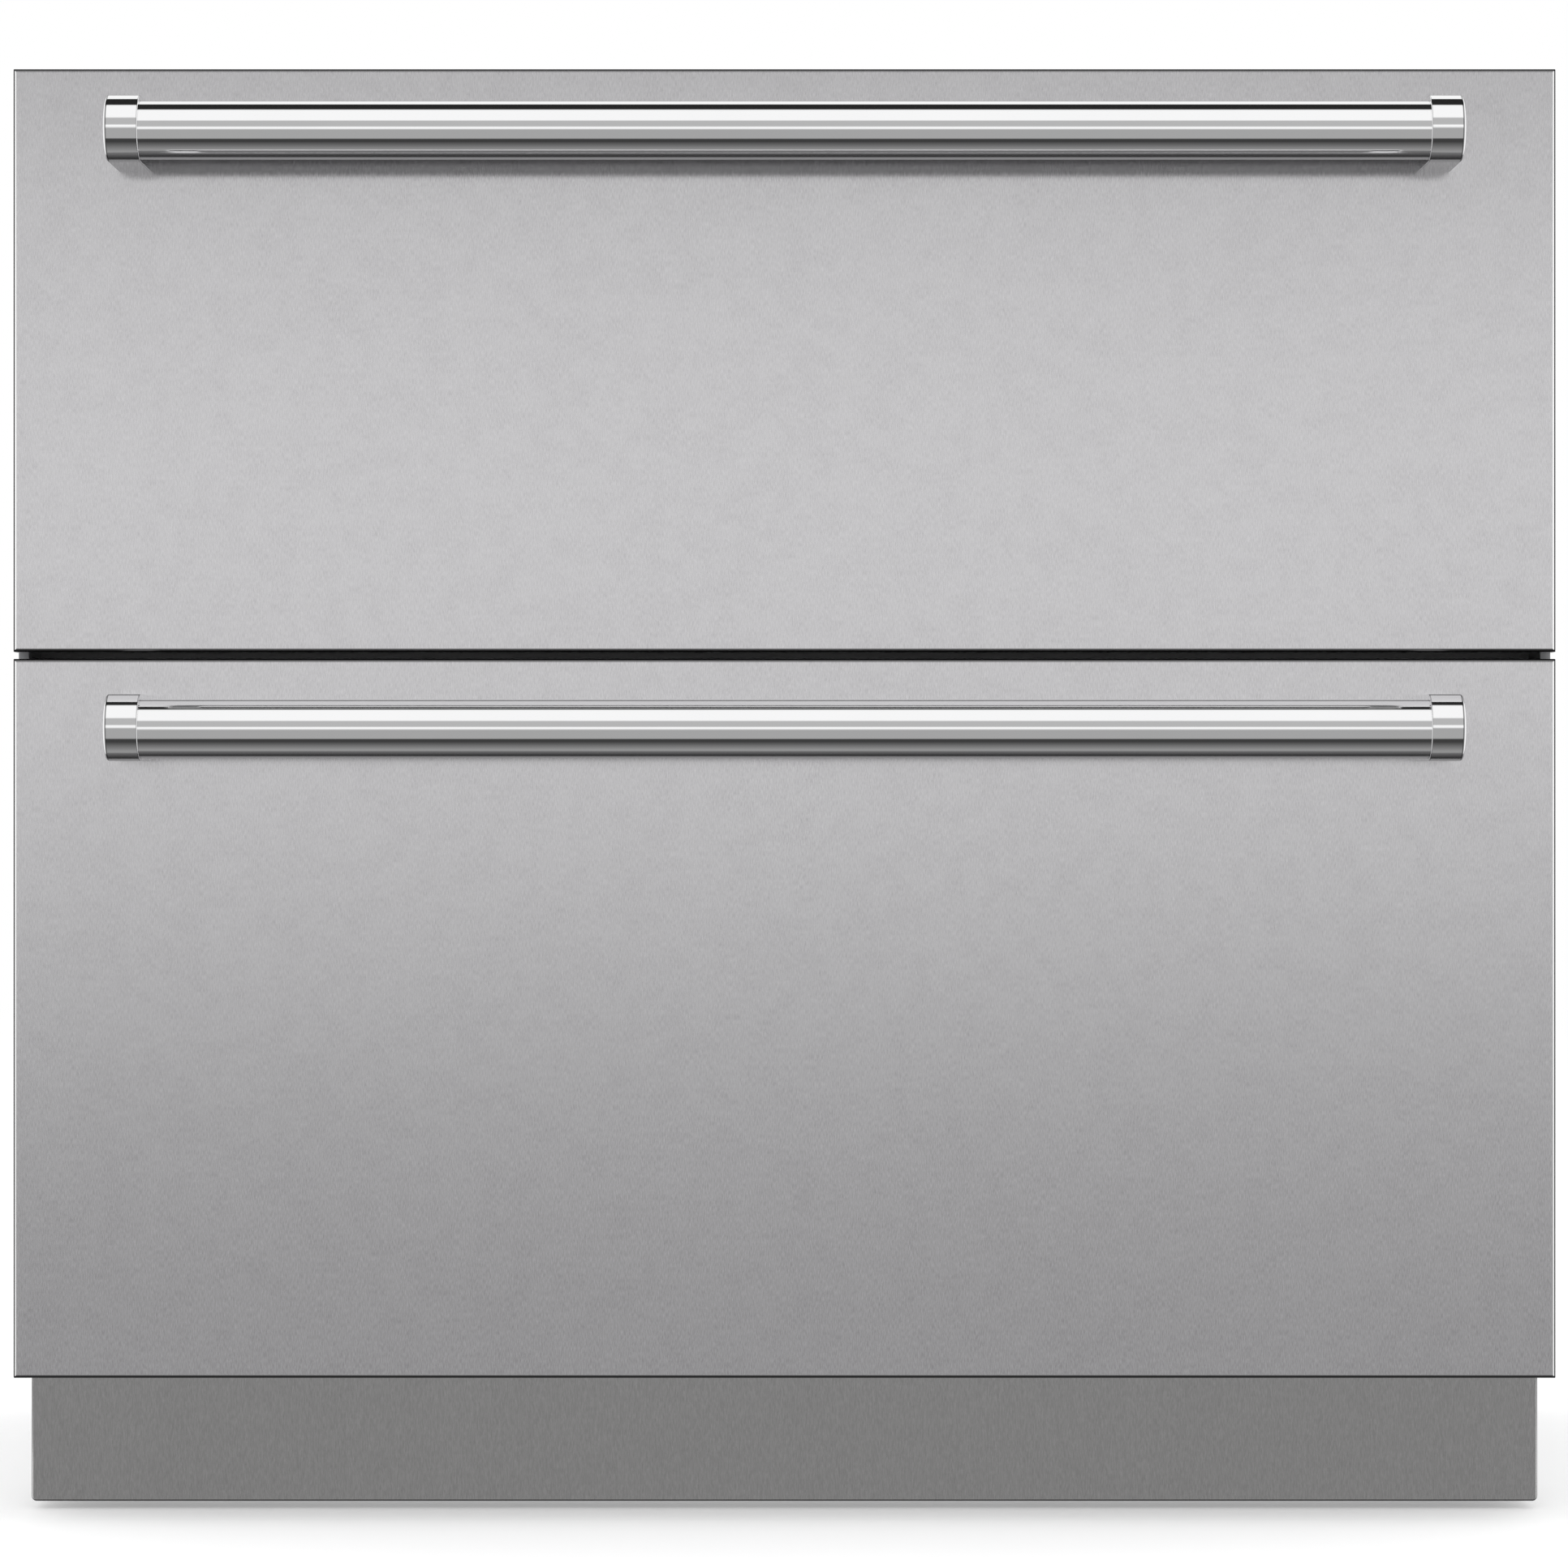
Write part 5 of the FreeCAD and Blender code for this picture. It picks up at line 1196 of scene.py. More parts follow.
# ---- Drawer fronts -----------------------------------------------------------------------
@dataclass
class DrawerFront:
    """Folded stainless front, its moulded back and the magnetic seal."""

    drawer: Drawer
    fitter: Fitter
    fold_radius: float = 2.0 * MM
    sheet: float = 1.2 * MM
    corner_gap: float = 0.22 * MM
    seam_reach: float = 1.02
    end_reach: float = 1.05
    hollow_inset: float = 2.0 * MM
    hollow_gap: float = 0.4 * MM
    liner_wall: float = 2.0 * MM
    liner_corner: float = 6.0 * MM
    liner_edge: float = 0.8 * MM
    field_corner: float = 14.0 * MM
    lip_gap: float = 0.3 * MM
    lip_depth: float = 0.8 * MM
    lip_width: float = 13.0 * MM
    lip_edge: float = 0.25 * MM
    field_margin: float = 78.0 * MM
    field_depth: float = 3.0 * MM
    seal_width: float = 11.0 * MM
    seal_base: float = 3.0 * MM
    seal_folds: int = 3
    seal_groove: float = 2.6 * MM
    seal_crest: float = 1.4 * MM
    seal_overlap: float = 0.2 * MM
    seal_edge: float = 1.1 * MM

    def build(self) -> None:
        """Build and dress all pieces of the front."""
        self.skin()
        self.core()
        self.back()
        self.seal()

    def skin(self) -> bpy.types.Object:
        """Folded sheet with round bends and open mitred corners.

        Returns:
            The dressed piece.
        """
        node = self.drawer.node("front_skin")
        low, high = corners(node)
        piece = add_block(self.drawer.node("front_sheet"), low, high)
        with shaping(piece):
            choose_faces(piece, lambda middle, normal: normal.y > 0.9)
            bpy.ops.mesh.delete(type="FACE")
        round_edges(piece, lambda a, b: at(a.y, low.y) and at(b.y, low.y), self.fold_radius, 6)
        middle = (low + high) / 2
        half = (high - low) / 2

        def on_seam(point: Vector) -> bool:
            """Whether a point lies on the mitre between two bends.

            Args:
                point: The point.

            Returns:
                True if it is as far from one bend's edge as from the other's.
            """
            across = half.x - abs(point.x - middle.x)
            upward = half.z - abs(point.z - middle.z)
            return at(across, upward, 4 * NEAR) and across < self.fold_radius * self.seam_reach

        with shaping(piece):
            choose_edges(piece, lambda a, b: on_seam(a) and on_seam(b))
            bpy.ops.mesh.edge_split(type="EDGE")
            for axis in (0, 2):
                self.part_seams(piece, axis, middle, half)
        modify(piece, "SOLIDIFY", thickness=self.sheet, offset=-1.0, use_even_offset=True)
        smooth(piece, 30)
        return self.fitter.fit(piece, node)

    def part_seams(self, piece: bpy.types.Object, axis: int, middle: Vector, half: Vector) -> None:
        """Draw the ends of two flanges back from the corners, in edit mode.

        Args:
            piece: The sheet, with its corner seams split.
            axis: 0 for the ends of the top and bottom flanges, 2 for those of the side flanges.
            middle: Middle of the front.
            half: Half of its size.
        """
        across = 2 - axis
        for sign in (-1, 1):
            edge = half[axis] - self.fold_radius * self.end_reach
            choose_points(piece, lambda point: sign * (point[axis] - middle[axis]) > edge
                          and point.y > middle.y - half.y + 0.1 * MM,
                          lambda normal: abs(normal[across]) > 0.02 and abs(normal[axis]) < 0.01)
            shift = [0.0, 0.0, 0.0]
            shift[axis] = -sign * self.corner_gap
            bpy.ops.transform.translate(value=shift)

    def core(self) -> bpy.types.Object:
        """Foam body, hollowed behind the pan's sunk field.

        Returns:
            The dressed piece.
        """
        node = self.drawer.node("front_core")
        piece = node_copy(node, self.drawer.node("front_foam"))
        low, high = corners(self.drawer.node("front_liner"))
        inset = self.field_margin - self.hollow_inset
        bottom = high.y - self.liner_wall - self.field_depth - self.hollow_gap
        carve(piece, add_block("hollow", (low.x + inset, bottom, low.z + inset),
                               (high.x - inset, high.y, high.z - inset)))
        smooth(piece)
        return self.fitter.fit(piece, node)

    def lip(self) -> bpy.types.Object:
        """Thin turned-out edge of the pan that covers the foam behind the folded sheet.

        Returns:
            The ring, not dressed yet.
        """
        low, high = corners(self.drawer.node("front_core"))
        start = corners(self.drawer.node("front_liner"))[0].y
        ring = add_ring("pan_lip", (low.x + self.lip_gap, start, low.z + self.lip_gap),
                        (high.x - self.lip_gap, start + self.lip_depth, high.z - self.lip_gap),
                        self.lip_width)
        soften(ring, self.lip_edge)
        return ring

    def back(self) -> bpy.types.Object:
        """Moulded pan behind the front, with a shallow sunk field.

        Returns:
            The dressed piece.
        """
        node = self.drawer.node("front_liner")
        low, high = corners(node)
        piece = add_block(self.drawer.node("front_back_pan"), low, high)
        with shaping(piece):
            choose_faces(piece, lambda middle, normal: normal.y < -0.9)
            bpy.ops.mesh.delete(type="FACE")
            choose_faces(piece, lambda middle, normal: normal.y > 0.9)
            bpy.ops.mesh.inset(thickness=self.field_margin, use_even_offset=True)
            bpy.ops.mesh.inset(thickness=self.field_depth * 1.5, depth=-self.field_depth,
                               use_even_offset=True)
        outer, sunk = high.y, high.y - self.field_depth
        round_edges(piece, lambda a, b: at(max(a.y, b.y), outer) and at(min(a.y, b.y), sunk),
                    self.field_corner, 5)
        round_edges(piece, lambda a, b: along(a, b, 1) and abs(a.x) > high.x - 1 * MM,
                    self.liner_corner, 5)
        modify(piece, "SOLIDIFY", thickness=self.liner_wall, offset=-1.0)
        soften(piece, self.liner_edge, 3)
        piece = join(piece.name, [piece, self.lip()])
        smooth(piece)
        return self.fitter.fit(piece, node)

    def seal(self) -> bpy.types.Object:
        """Soft seal: a snapped-in base, bellows and a rounded magnetic face.

        Returns:
            The dressed piece.
        """
        node = self.drawer.node("gasket")
        low, high = corners(node)
        start, end = low.y + self.seal_base, high.y - self.seal_base
        rings = [add_ring("seal_base", low, (high.x, start, high.z), self.seal_width)]
        pitch = (end - start) / self.seal_folds
        for fold in range(self.seal_folds):
            inset = self.seal_crest if fold % 2 else self.seal_groove
            front = start + pitch * fold
            rings.append(add_ring(
                f"seal_fold_{fold}", (low.x + inset, front - self.seal_overlap, low.z + inset),
                (high.x - inset, front + pitch + self.seal_overlap, high.z - inset),
                self.seal_width - 2 * inset))
        rings.append(add_ring("seal_face", (low.x, end, low.z), high, self.seal_width))
        for ring in rings:
            soften(ring, min(self.seal_edge, (high.y - low.y) / 12), 3)
        piece = join(self.drawer.node("door_seal"), rings)
        smooth(piece, 40)
        return self.fitter.fit(piece, node)


# ---- Handles -----------------------------------------------------------------------------
@dataclass
class BarHandle:
    """Polished tube between two D-shaped brackets."""

    drawer: Drawer
    fitter: Fitter
    wall: float = 2.0 * MM
    seat: float = 8.0 * MM
    gap: float = 0.12 * MM
    outer_edge: float = 2.0 * MM
    inner_edge: float = 0.6 * MM
    tube_edge: float = 0.4 * MM
    overrun: float = 1.0 * MM
    round_steps: int = 22
    sides: int = 128

    def build(self) -> None:
        """Build and dress the bar and both brackets."""
        self.bar()
        self.brackets()

    def bar(self) -> bpy.types.Object:
        """Open tube with softened ends.

        Returns:
            The dressed piece.
        """
        node = self.drawer.node("handle_bar")
        low, high = corners(node)
        radius = (high.z - low.z) / 2
        centre = (low.x, (low.y + high.y) / 2, (low.z + high.z) / 2)
        piece = add_rod(self.drawer.node("handle_tube"), centre, 0, high.x - low.x, radius,
                        self.sides)
        with shaping(piece):
            choose_faces(piece, lambda middle, normal: abs(normal.x) > 0.9)
            bpy.ops.mesh.inset(thickness=self.wall)
            bpy.ops.mesh.bridge_edge_loops()
        soften(piece, self.tube_edge, 2, 60)
        smooth(piece, 40)
        return self.fitter.fit(piece, node)

    def brackets(self) -> bpy.types.Object:
        """Both brackets, the right one modelled and the left one its mirror image.

        Returns:
            The dressed piece.
        """
        node = self.drawer.node("handle_brackets")
        low, high = corners(node)
        bar_low, bar_high = corners(self.drawer.node("handle_bar"))
        inner = bar_high.x - self.seat
        right = add_block("bracket_right", (inner, low.y, low.z), high)
        radius = (high.z - low.z) / 2
        round_edges(right, lambda a, b: along(a, b, 0) and at(a.y, low.y), radius,
                    self.round_steps)
        tidy_mesh(right, 2 * NEAR)
        for face_x, width, steps in ((high.x, self.outer_edge, 5), (inner, self.inner_edge, 3)):
            round_edges(right, lambda a, b: at(a.x, face_x) and at(b.x, face_x)
                        and not (at(a.y, high.y) and at(b.y, high.y)), width, steps)
        centre = (inner - self.overrun, (bar_low.y + bar_high.y) / 2, (bar_low.z + bar_high.z) / 2)
        carve(right, add_rod("pocket", centre, 0, self.seat + self.overrun,
                             (bar_high.z - bar_low.z) / 2 + self.gap, self.sides))
        smooth(right, 30)
        left = mirror_to(right, "bracket_left")
        smooth(left, 30)
        piece = join(self.drawer.node("handle_end_brackets"), [right, left])
        return self.fitter.fit(piece, node)


# ---- Drawer insides ----------------------------------------------------------------------
@dataclass
class StorageBin:
    """Frosted bin that hangs in the drawer's carrier, with a sliding divider."""

    drawer: Drawer
    fitter: Fitter
    rim_edge: float = 0.8 * MM
    plate_edge: float = 0.5 * MM
    rib_pitch: float = 9.1 * MM
    rib_width: float = 2.4 * MM
    rib_rise: float = 0.9 * MM
    rib_sink: float = 0.2 * MM
    rib_inset: float = 2.0 * MM

    def build(self) -> None:
        """Build and dress the bin and its divider."""
        self.fitter.fit_copy(self.drawer.node("bin"), self.drawer.node("storage_bin"),
                             self.rim_edge, limit=60, angle=40)
        self.divider()

    def divider(self) -> bpy.types.Object:
        """Clear plate with three grip ribs on its top edge.

        Returns:
            The dressed piece.
        """
        node = self.drawer.node("divider")
        low, high = corners(node)
        piece = node_copy(node, self.drawer.node("bin_divider"))
        soften(piece, self.plate_edge, 2, 40)
        middle = (low.y + high.y) / 2
        ribs = []
        for offset in (-1, 0, 1):
            y = middle + offset * self.rib_pitch
            rib = add_block("grip_rib", (low.x + self.rib_inset, y - self.rib_width / 2,
                                         high.z - self.rib_sink),
                            (high.x - self.rib_inset, y + self.rib_width / 2,
                             high.z + self.rib_rise))
            soften(rib, self.plate_edge)
            ribs.append(rib)
        piece = join(self.drawer.node("bin_divider"), [piece, *ribs])
        smooth(piece, 40)
        return self.fitter.fit(piece, node)


@dataclass
class DrawerRunner:
    """Telescopic slides, the carrier between them and the shaft that keeps them level."""

    drawer: Drawer
    fitter: Fitter
    hem: float = 0.35 * MM
    frame_edge: float = 0.4 * MM
    shaft_edge: float = 0.2 * MM
    rivet_count: int = 4
    rivet_radius: float = 3.2 * MM
    rivet_height: float = 1.1 * MM
    rivet_dome: float = 0.9 * MM
    rivet_pitch: float = 96.0 * MM
    rivet_start: float = 20.0 * MM
    rivet_inset: float = 6.5 * MM
    flange_length: float = 30.0 * MM

    def build(self) -> None:
        """Build and dress the slide members, the carrier and the shaft."""
        for part in ("cabinet_rails", "middle_rails", "drawer_rails"):
            self.fitter.fit_copy(self.drawer.node(part), self.drawer.node(f"{part}_rolled"),
                                 self.hem)
        self.carrier()
        self.fitter.fit_copy(self.drawer.node("sync_shaft"), self.drawer.node("pinion_shaft"),
                             self.shaft_edge, steps=1, limit=50, angle=40)

    def carrier(self) -> bpy.types.Object:
        """Carrier with a row of rivets along each flange.

        Returns:
            The dressed piece.
        """
        node = self.drawer.node("drawer_carrier")
        low, high = corners(node)
        piece = node_copy(node, self.drawer.node("carrier_frame"))
        soften(piece, self.frame_edge)
        seat = max(point.co.z for point in frame["nodes"][node].data.vertices
                   if point.co.y < low.y + self.flange_length)
        start = (high.x - self.rivet_inset, low.y + self.rivet_start, seat)
        rivet = add_rod("rivet", start, 2, self.rivet_height, self.rivet_radius, 20)
        top = seat + self.rivet_height
        round_edges(rivet, lambda a, b: at(a.z, top) and at(b.z, top), self.rivet_dome)
        rivets = [rivet]
        for step in range(1, self.rivet_count):
            rivets.append(copy_to(rivet, f"rivet_{step}", (0, step * self.rivet_pitch, 0)))
        row = join("rivets_right", rivets)
        twin = mirror_to(row, "rivets_left")
        piece = join(self.drawer.node("carrier_frame"), [piece, row, twin])
        smooth(piece)
        return self.fitter.fit(piece, node)


# ---- Cabinet -----------------------------------------------------------------------------
@dataclass
class CabinetShell:
    """Coated sides, zinc-coated sheets, face frame and kickplate."""

    fitter: Fitter
    side_fold: float = 0.5 * MM
    sheet_fold: float = 0.3 * MM
    bar_fold: float = 0.6 * MM
    kick_fold: float = 1.0 * MM
    kick_corner: float = 2.8 * MM
    kick_sheet: float = 1.2 * MM
    kick_flange: float = 18.0 * MM
    kick_face_depth: float = 3.0 * MM
    kick_overlap: float = 0.2 * MM
    kick_gap: float = 0.1 * MM

    def build(self) -> None:
        """Build and dress the whole shell."""
        for side in Side:
            self.fitter.fit_copy(f"{side.value}_side_wall", f"{side.value}_outer_side",
                                 self.side_fold)
        for node in ("top_cover", "rear_panel", "bottom_panel", "base_tray", "counter_brackets"):
            self.fitter.fit_copy(node, f"{node}_sheet", self.sheet_fold)
        self.kickplate()
        self.fitter.fit_copy("face_frame", "opening_frame", self.sheet_fold)
        self.fitter.fit_copy("center_mullion", "opening_bar", self.bar_fold)
        self.fitter.keep("cabinet_foam")

    def kickplate(self) -> bpy.types.Object:
        """Brushed plate with rounded lower corners and folded flanges.

        Returns:
            The dressed piece.
        """
        low, high = corners("kickplate")
        behind = [point.co for point in frame["nodes"]["kickplate"].data.vertices
                  if point.co.y > low.y + self.kick_face_depth]
        inner = max(point.x for point in behind)
        floor = min(point.z for point in behind)
        back = low.y + self.kick_sheet
        start = back - self.kick_overlap
        plate = add_block("kick_face", low, (high.x, back, high.z))
        round_edges(plate, lambda a, b: along(a, b, 1) and at(a.z, low.z), self.kick_corner, 4)
        round_edges(plate, lambda a, b: at(a.y, low.y) and at(b.y, low.y), self.kick_fold, 4)
        top = add_block("kick_top", (-inner, start, high.z - self.kick_sheet),
                        (inner, back + self.kick_flange, high.z))
        wing = add_block("kick_wing", (inner - self.kick_sheet, start, floor),
                         (inner, high.y, high.z - self.kick_gap))
        for flange in (top, wing):
            soften(flange, self.sheet_fold)
        piece = join("kick_panel", [plate, top, wing, mirror_to(wing, "kick_wing_left")])
        smooth(piece, 30)
        return self.fitter.fit(piece, "kickplate", finish="kick_stainless")


@dataclass
class LevelingLeg:
    """Foot with grip ribs, jam nut and threaded stud."""

    corner: str
    fitter: Fitter
    foot_radius: float = 25.0 * MM
    foot_height: float = 9.0 * MM
    nut_radius: float = 13.86 * MM
    nut_height: float = 6.0 * MM
    stud_radius: float = 7.0 * MM
    thread_pitch: float = 1.75 * MM
    thread_depth: float = 0.6 * MM
    thread_sides: int = 28
    overlap: float = 1.0 * MM
    cap_edge: float = 0.5 * MM
    nut_edge: float = 0.7 * MM
    foot_edge: float = 1.6 * MM
    ribs: int = 24
    groove_inset: float = 0.5 * MM
    groove_depth: float = 0.7 * MM

    def build(self) -> bpy.types.Object:
        """Build and dress the leg.

        Returns:
            The dressed leg.
        """
        node = f"{self.corner}_leg"
        low, high = corners(node)
        x, y = (low.x + high.x) / 2, (low.y + high.y) / 2
        piece = join(f"{self.corner}_leveling_leg", [self.foot(x, y), self.nut(x, y),
                                                     self.stud(x, y, high.z)])
        smooth(piece, 30)
        return self.fitter.fit(piece, node)

    def foot(self, x: float, y: float) -> bpy.types.Object:
        """Round foot with shallow grip ribs round its edge.

        Args:
            x: Place of its axis along X.
            y: Place of its axis along Y.

        Returns:
            The foot, not dressed yet.
        """
        def is_groove(middle: Vector, normal: Vector) -> bool:
            """Every second face round the edge."""
            sector = math.atan2(middle.y - y, middle.x - x) / (math.pi / self.ribs) - 0.5
            return abs(normal.z) < 0.1 and round(sector) % 2 == 0

        foot = add_rod("foot", (x, y, 0), 2, self.foot_height, self.foot_radius, self.ribs * 2)
        with shaping(foot):
            choose_faces(foot, is_groove)
            bpy.ops.mesh.inset(thickness=self.groove_inset, depth=-self.groove_depth,
                               use_individual=True)
        round_edges(foot, lambda a, b: at(a.z, self.foot_height) and at(b.z, self.foot_height),
                    self.foot_edge)
        return foot

    def nut(self, x: float, y: float) -> bpy.types.Object:
        """Hexagon nut with softened corners.

        Args:
            x: Place of its axis along X.
            y: Place of its axis along Y.

        Returns:
            The nut, not dressed yet.
        """
        nut = add_rod("nut", (x, y, self.foot_height), 2, self.nut_height, self.nut_radius, 6)
        soften(nut, self.nut_edge)
        return nut

    def stud(self, x: float, y: float, top: float) -> bpy.types.Object:
        """Stud with a thread, one turn modelled and repeated.

        Args:
            x: Place of its axis along X.
            y: Place of its axis along Y.
            top: Height of its upper end.

        Returns:
            The stud, not dressed yet.
        """
        start = self.foot_height + self.nut_height - self.overlap
        root = self.stud_radius - self.thread_depth
        turn = add_rod("thread", (x, y, start), 2, self.thread_pitch, root, self.thread_sides)
        with shaping(turn):
            choose_faces(turn, lambda middle, normal: abs(normal.z) > 0.9)
            bpy.ops.mesh.delete(type="FACE")
            choose_edges(turn, lambda a, b: along(a, b, 2))
            bpy.ops.mesh.subdivide(number_cuts=1)
            middle_z = start + self.thread_pitch / 2
            choose_points(turn, lambda point: at(point.z, middle_z))
            ratio = self.stud_radius / root
            bpy.ops.transform.resize(value=(ratio, ratio, 1), center_override=(x, y, middle_z))
        count = int((top - start) / self.thread_pitch)
        modify(turn, "ARRAY", count=count, use_relative_offset=False, use_constant_offset=True,
               constant_offset_displace=(0, 0, self.thread_pitch), use_merge_vertices=True,
               merge_threshold=NEAR)
        cap_start = start + count * self.thread_pitch - self.cap_edge
        cap = add_rod("stud_end", (x, y, cap_start), 2, top - cap_start, root, self.thread_sides)
        soften(cap, self.cap_edge, 1, 60)
        return join("stud", [turn, cap])


@dataclass
class Fasteners:
    """Domed screws with a cross recess, at every place that the CAD gives."""

    fitter: Fitter
    head_radius: float = 4.5 * MM
    head_height: float = 2.0 * MM
    dome: float = 1.2 * MM
    recess: float = 4.6 * MM
    recess_depth: float = 1.1 * MM
    recess_clear: float = 1.0 * MM
    slot: float = 0.9 * MM
    shank: float = 1.0 * MM
    shank_radius: float = 2.0 * MM
    overlap: float = 0.2 * MM

    def build(self) -> bpy.types.Object:
        """Model one screw and set a copy at each place.

        Returns:
            All screws as one dressed piece.
        """
        parts = node_copy("cabinet_screws", "screw_places", flatten=False)
        pick_up(parts)
        bpy.ops.object.mode_set(mode="EDIT")
        bpy.ops.mesh.select_all(action="SELECT")
        bpy.ops.mesh.separate(type="LOOSE")
        bpy.ops.object.mode_set(mode="OBJECT")
        loose = list(bpy.context.selected_objects)
        places = []
        for piece in loose:
            points = [vertex.co for vertex in piece.data.vertices]
            low = Vector([min(point[i] for point in points) for i in range(3)])
            high = Vector([max(point[i] for point in points) for i in range(3)])
            places.append((low, high))
        for piece in loose:
            throw_away(piece)
        patterns = {axis: self.screw(axis) for axis in (2, 1)}
        screws = []
        for number, (low, high) in enumerate(places):
            size = high - low
            axis = 2 if size.z < size.x - self.shank else 1
            seat = (low + high) / 2
            seat[axis] = high[axis] - self.head_height
            screws.append(copy_to(patterns[axis], f"screw_{number}", seat))
        for pattern in patterns.values():
            throw_away(pattern)
        piece = join("cabinet_screw_set", screws)
        smooth(piece, 30)
        return self.fitter.fit(piece, "cabinet_screws")

    def screw(self, axis: int) -> bpy.types.Object:
        """One screw at the origin, with its head's top along an axis.

        Args:
            axis: 1 for a screw that faces the rear, 2 for one that faces up.

        Returns:
            The screw, not dressed yet.
        """
        start = [0.0, 0.0, 0.0]
        head = add_rod("head", start, axis, self.head_height, self.head_radius, 28)
        round_edges(head, lambda a, b: at(a[axis], self.head_height) and at(b[axis], self.head_height),
                    self.dome, 4)
        for wide, tall in ((self.recess, self.slot), (self.slot, self.recess)):
            low = [-wide / 2, -tall / 2]
            high = [wide / 2, tall / 2]
            low.insert(axis, self.head_height - self.recess_depth)
            high.insert(axis, self.head_height + self.recess_clear)
            carve(head, add_block("recess", low, high))
        start[axis] = -self.shank
        body = add_rod("shank", start, axis, self.shank + self.overlap, self.shank_radius, 14)
        return join("screw", [head, body])


@dataclass
class RearCover:
    """Louvred cover over the machine bay, with its cord gland."""

    fitter: Fitter
    sheet_edge: float = 0.25 * MM
    gland_edge: float = 0.5 * MM
    hood_depth: float = 2.6 * MM
    hood_sheet: float = 0.6 * MM
    hood_margin: float = 1.0 * MM
    hood_overhang: float = 2.0 * MM
    hood_sink: float = 0.4 * MM
    columns: int = 4
    rows: int = 12
    length: float = 150.0 * MM
    height: float = 7.0 * MM
    pitch: float = 15.0 * MM
    gap: float = 40.0 * MM

    def build(self) -> None:
        """Build and dress the cover, its louvre hoods and the gland."""
        cover = softened_copy("machine_cover", "rear_cover_sheet", self.sheet_edge)
        piece = join("rear_cover", [cover, self.hoods()])
        smooth(piece)
        self.fitter.fit(piece, "machine_cover")
        self.fitter.fit_copy("power_cord_gland", "cord_gland_bush", self.gland_edge,
                             steps=3)

    def hoods(self) -> bpy.types.Object:
        """One pressed hood over a slot, repeated in rows and columns.

        Returns:
            All hoods as one piece, not dressed yet.
        """
        low, high = corners("machine_cover")
        total = self.columns * self.length + (self.columns - 1) * self.gap
        x = -total / 2
        z = (low.z + high.z) / 2 - self.pitch * (self.rows - 1) / 2
        face = high.y + self.hood_depth
        top = z + self.height / 2 + self.hood_overhang
        hood = add_block("hood", (x - self.hood_margin, high.y - self.hood_sink,
                                  z - self.height / 2 - self.hood_margin),
                         (x + self.length + self.hood_margin, face, top))
        with shaping(hood):
            choose_faces(hood, lambda middle, normal: normal.z < -0.9 or normal.y < -0.9)
            bpy.ops.mesh.delete(type="FACE")
        round_edges(hood, lambda a, b: at(a.y, face) and at(a.z, top) and at(b.z, top),
                    self.hood_depth * 0.9, 4)
        modify(hood, "SOLIDIFY", thickness=self.hood_sheet, offset=-1.0)
        modify(hood, "ARRAY", count=self.rows, use_relative_offset=False, use_constant_offset=True,
               constant_offset_displace=(0, 0, self.pitch))
        modify(hood, "ARRAY", count=self.columns, use_relative_offset=False, use_constant_offset=True,
               constant_offset_displace=(self.length + self.gap, 0, 0))
        return hood


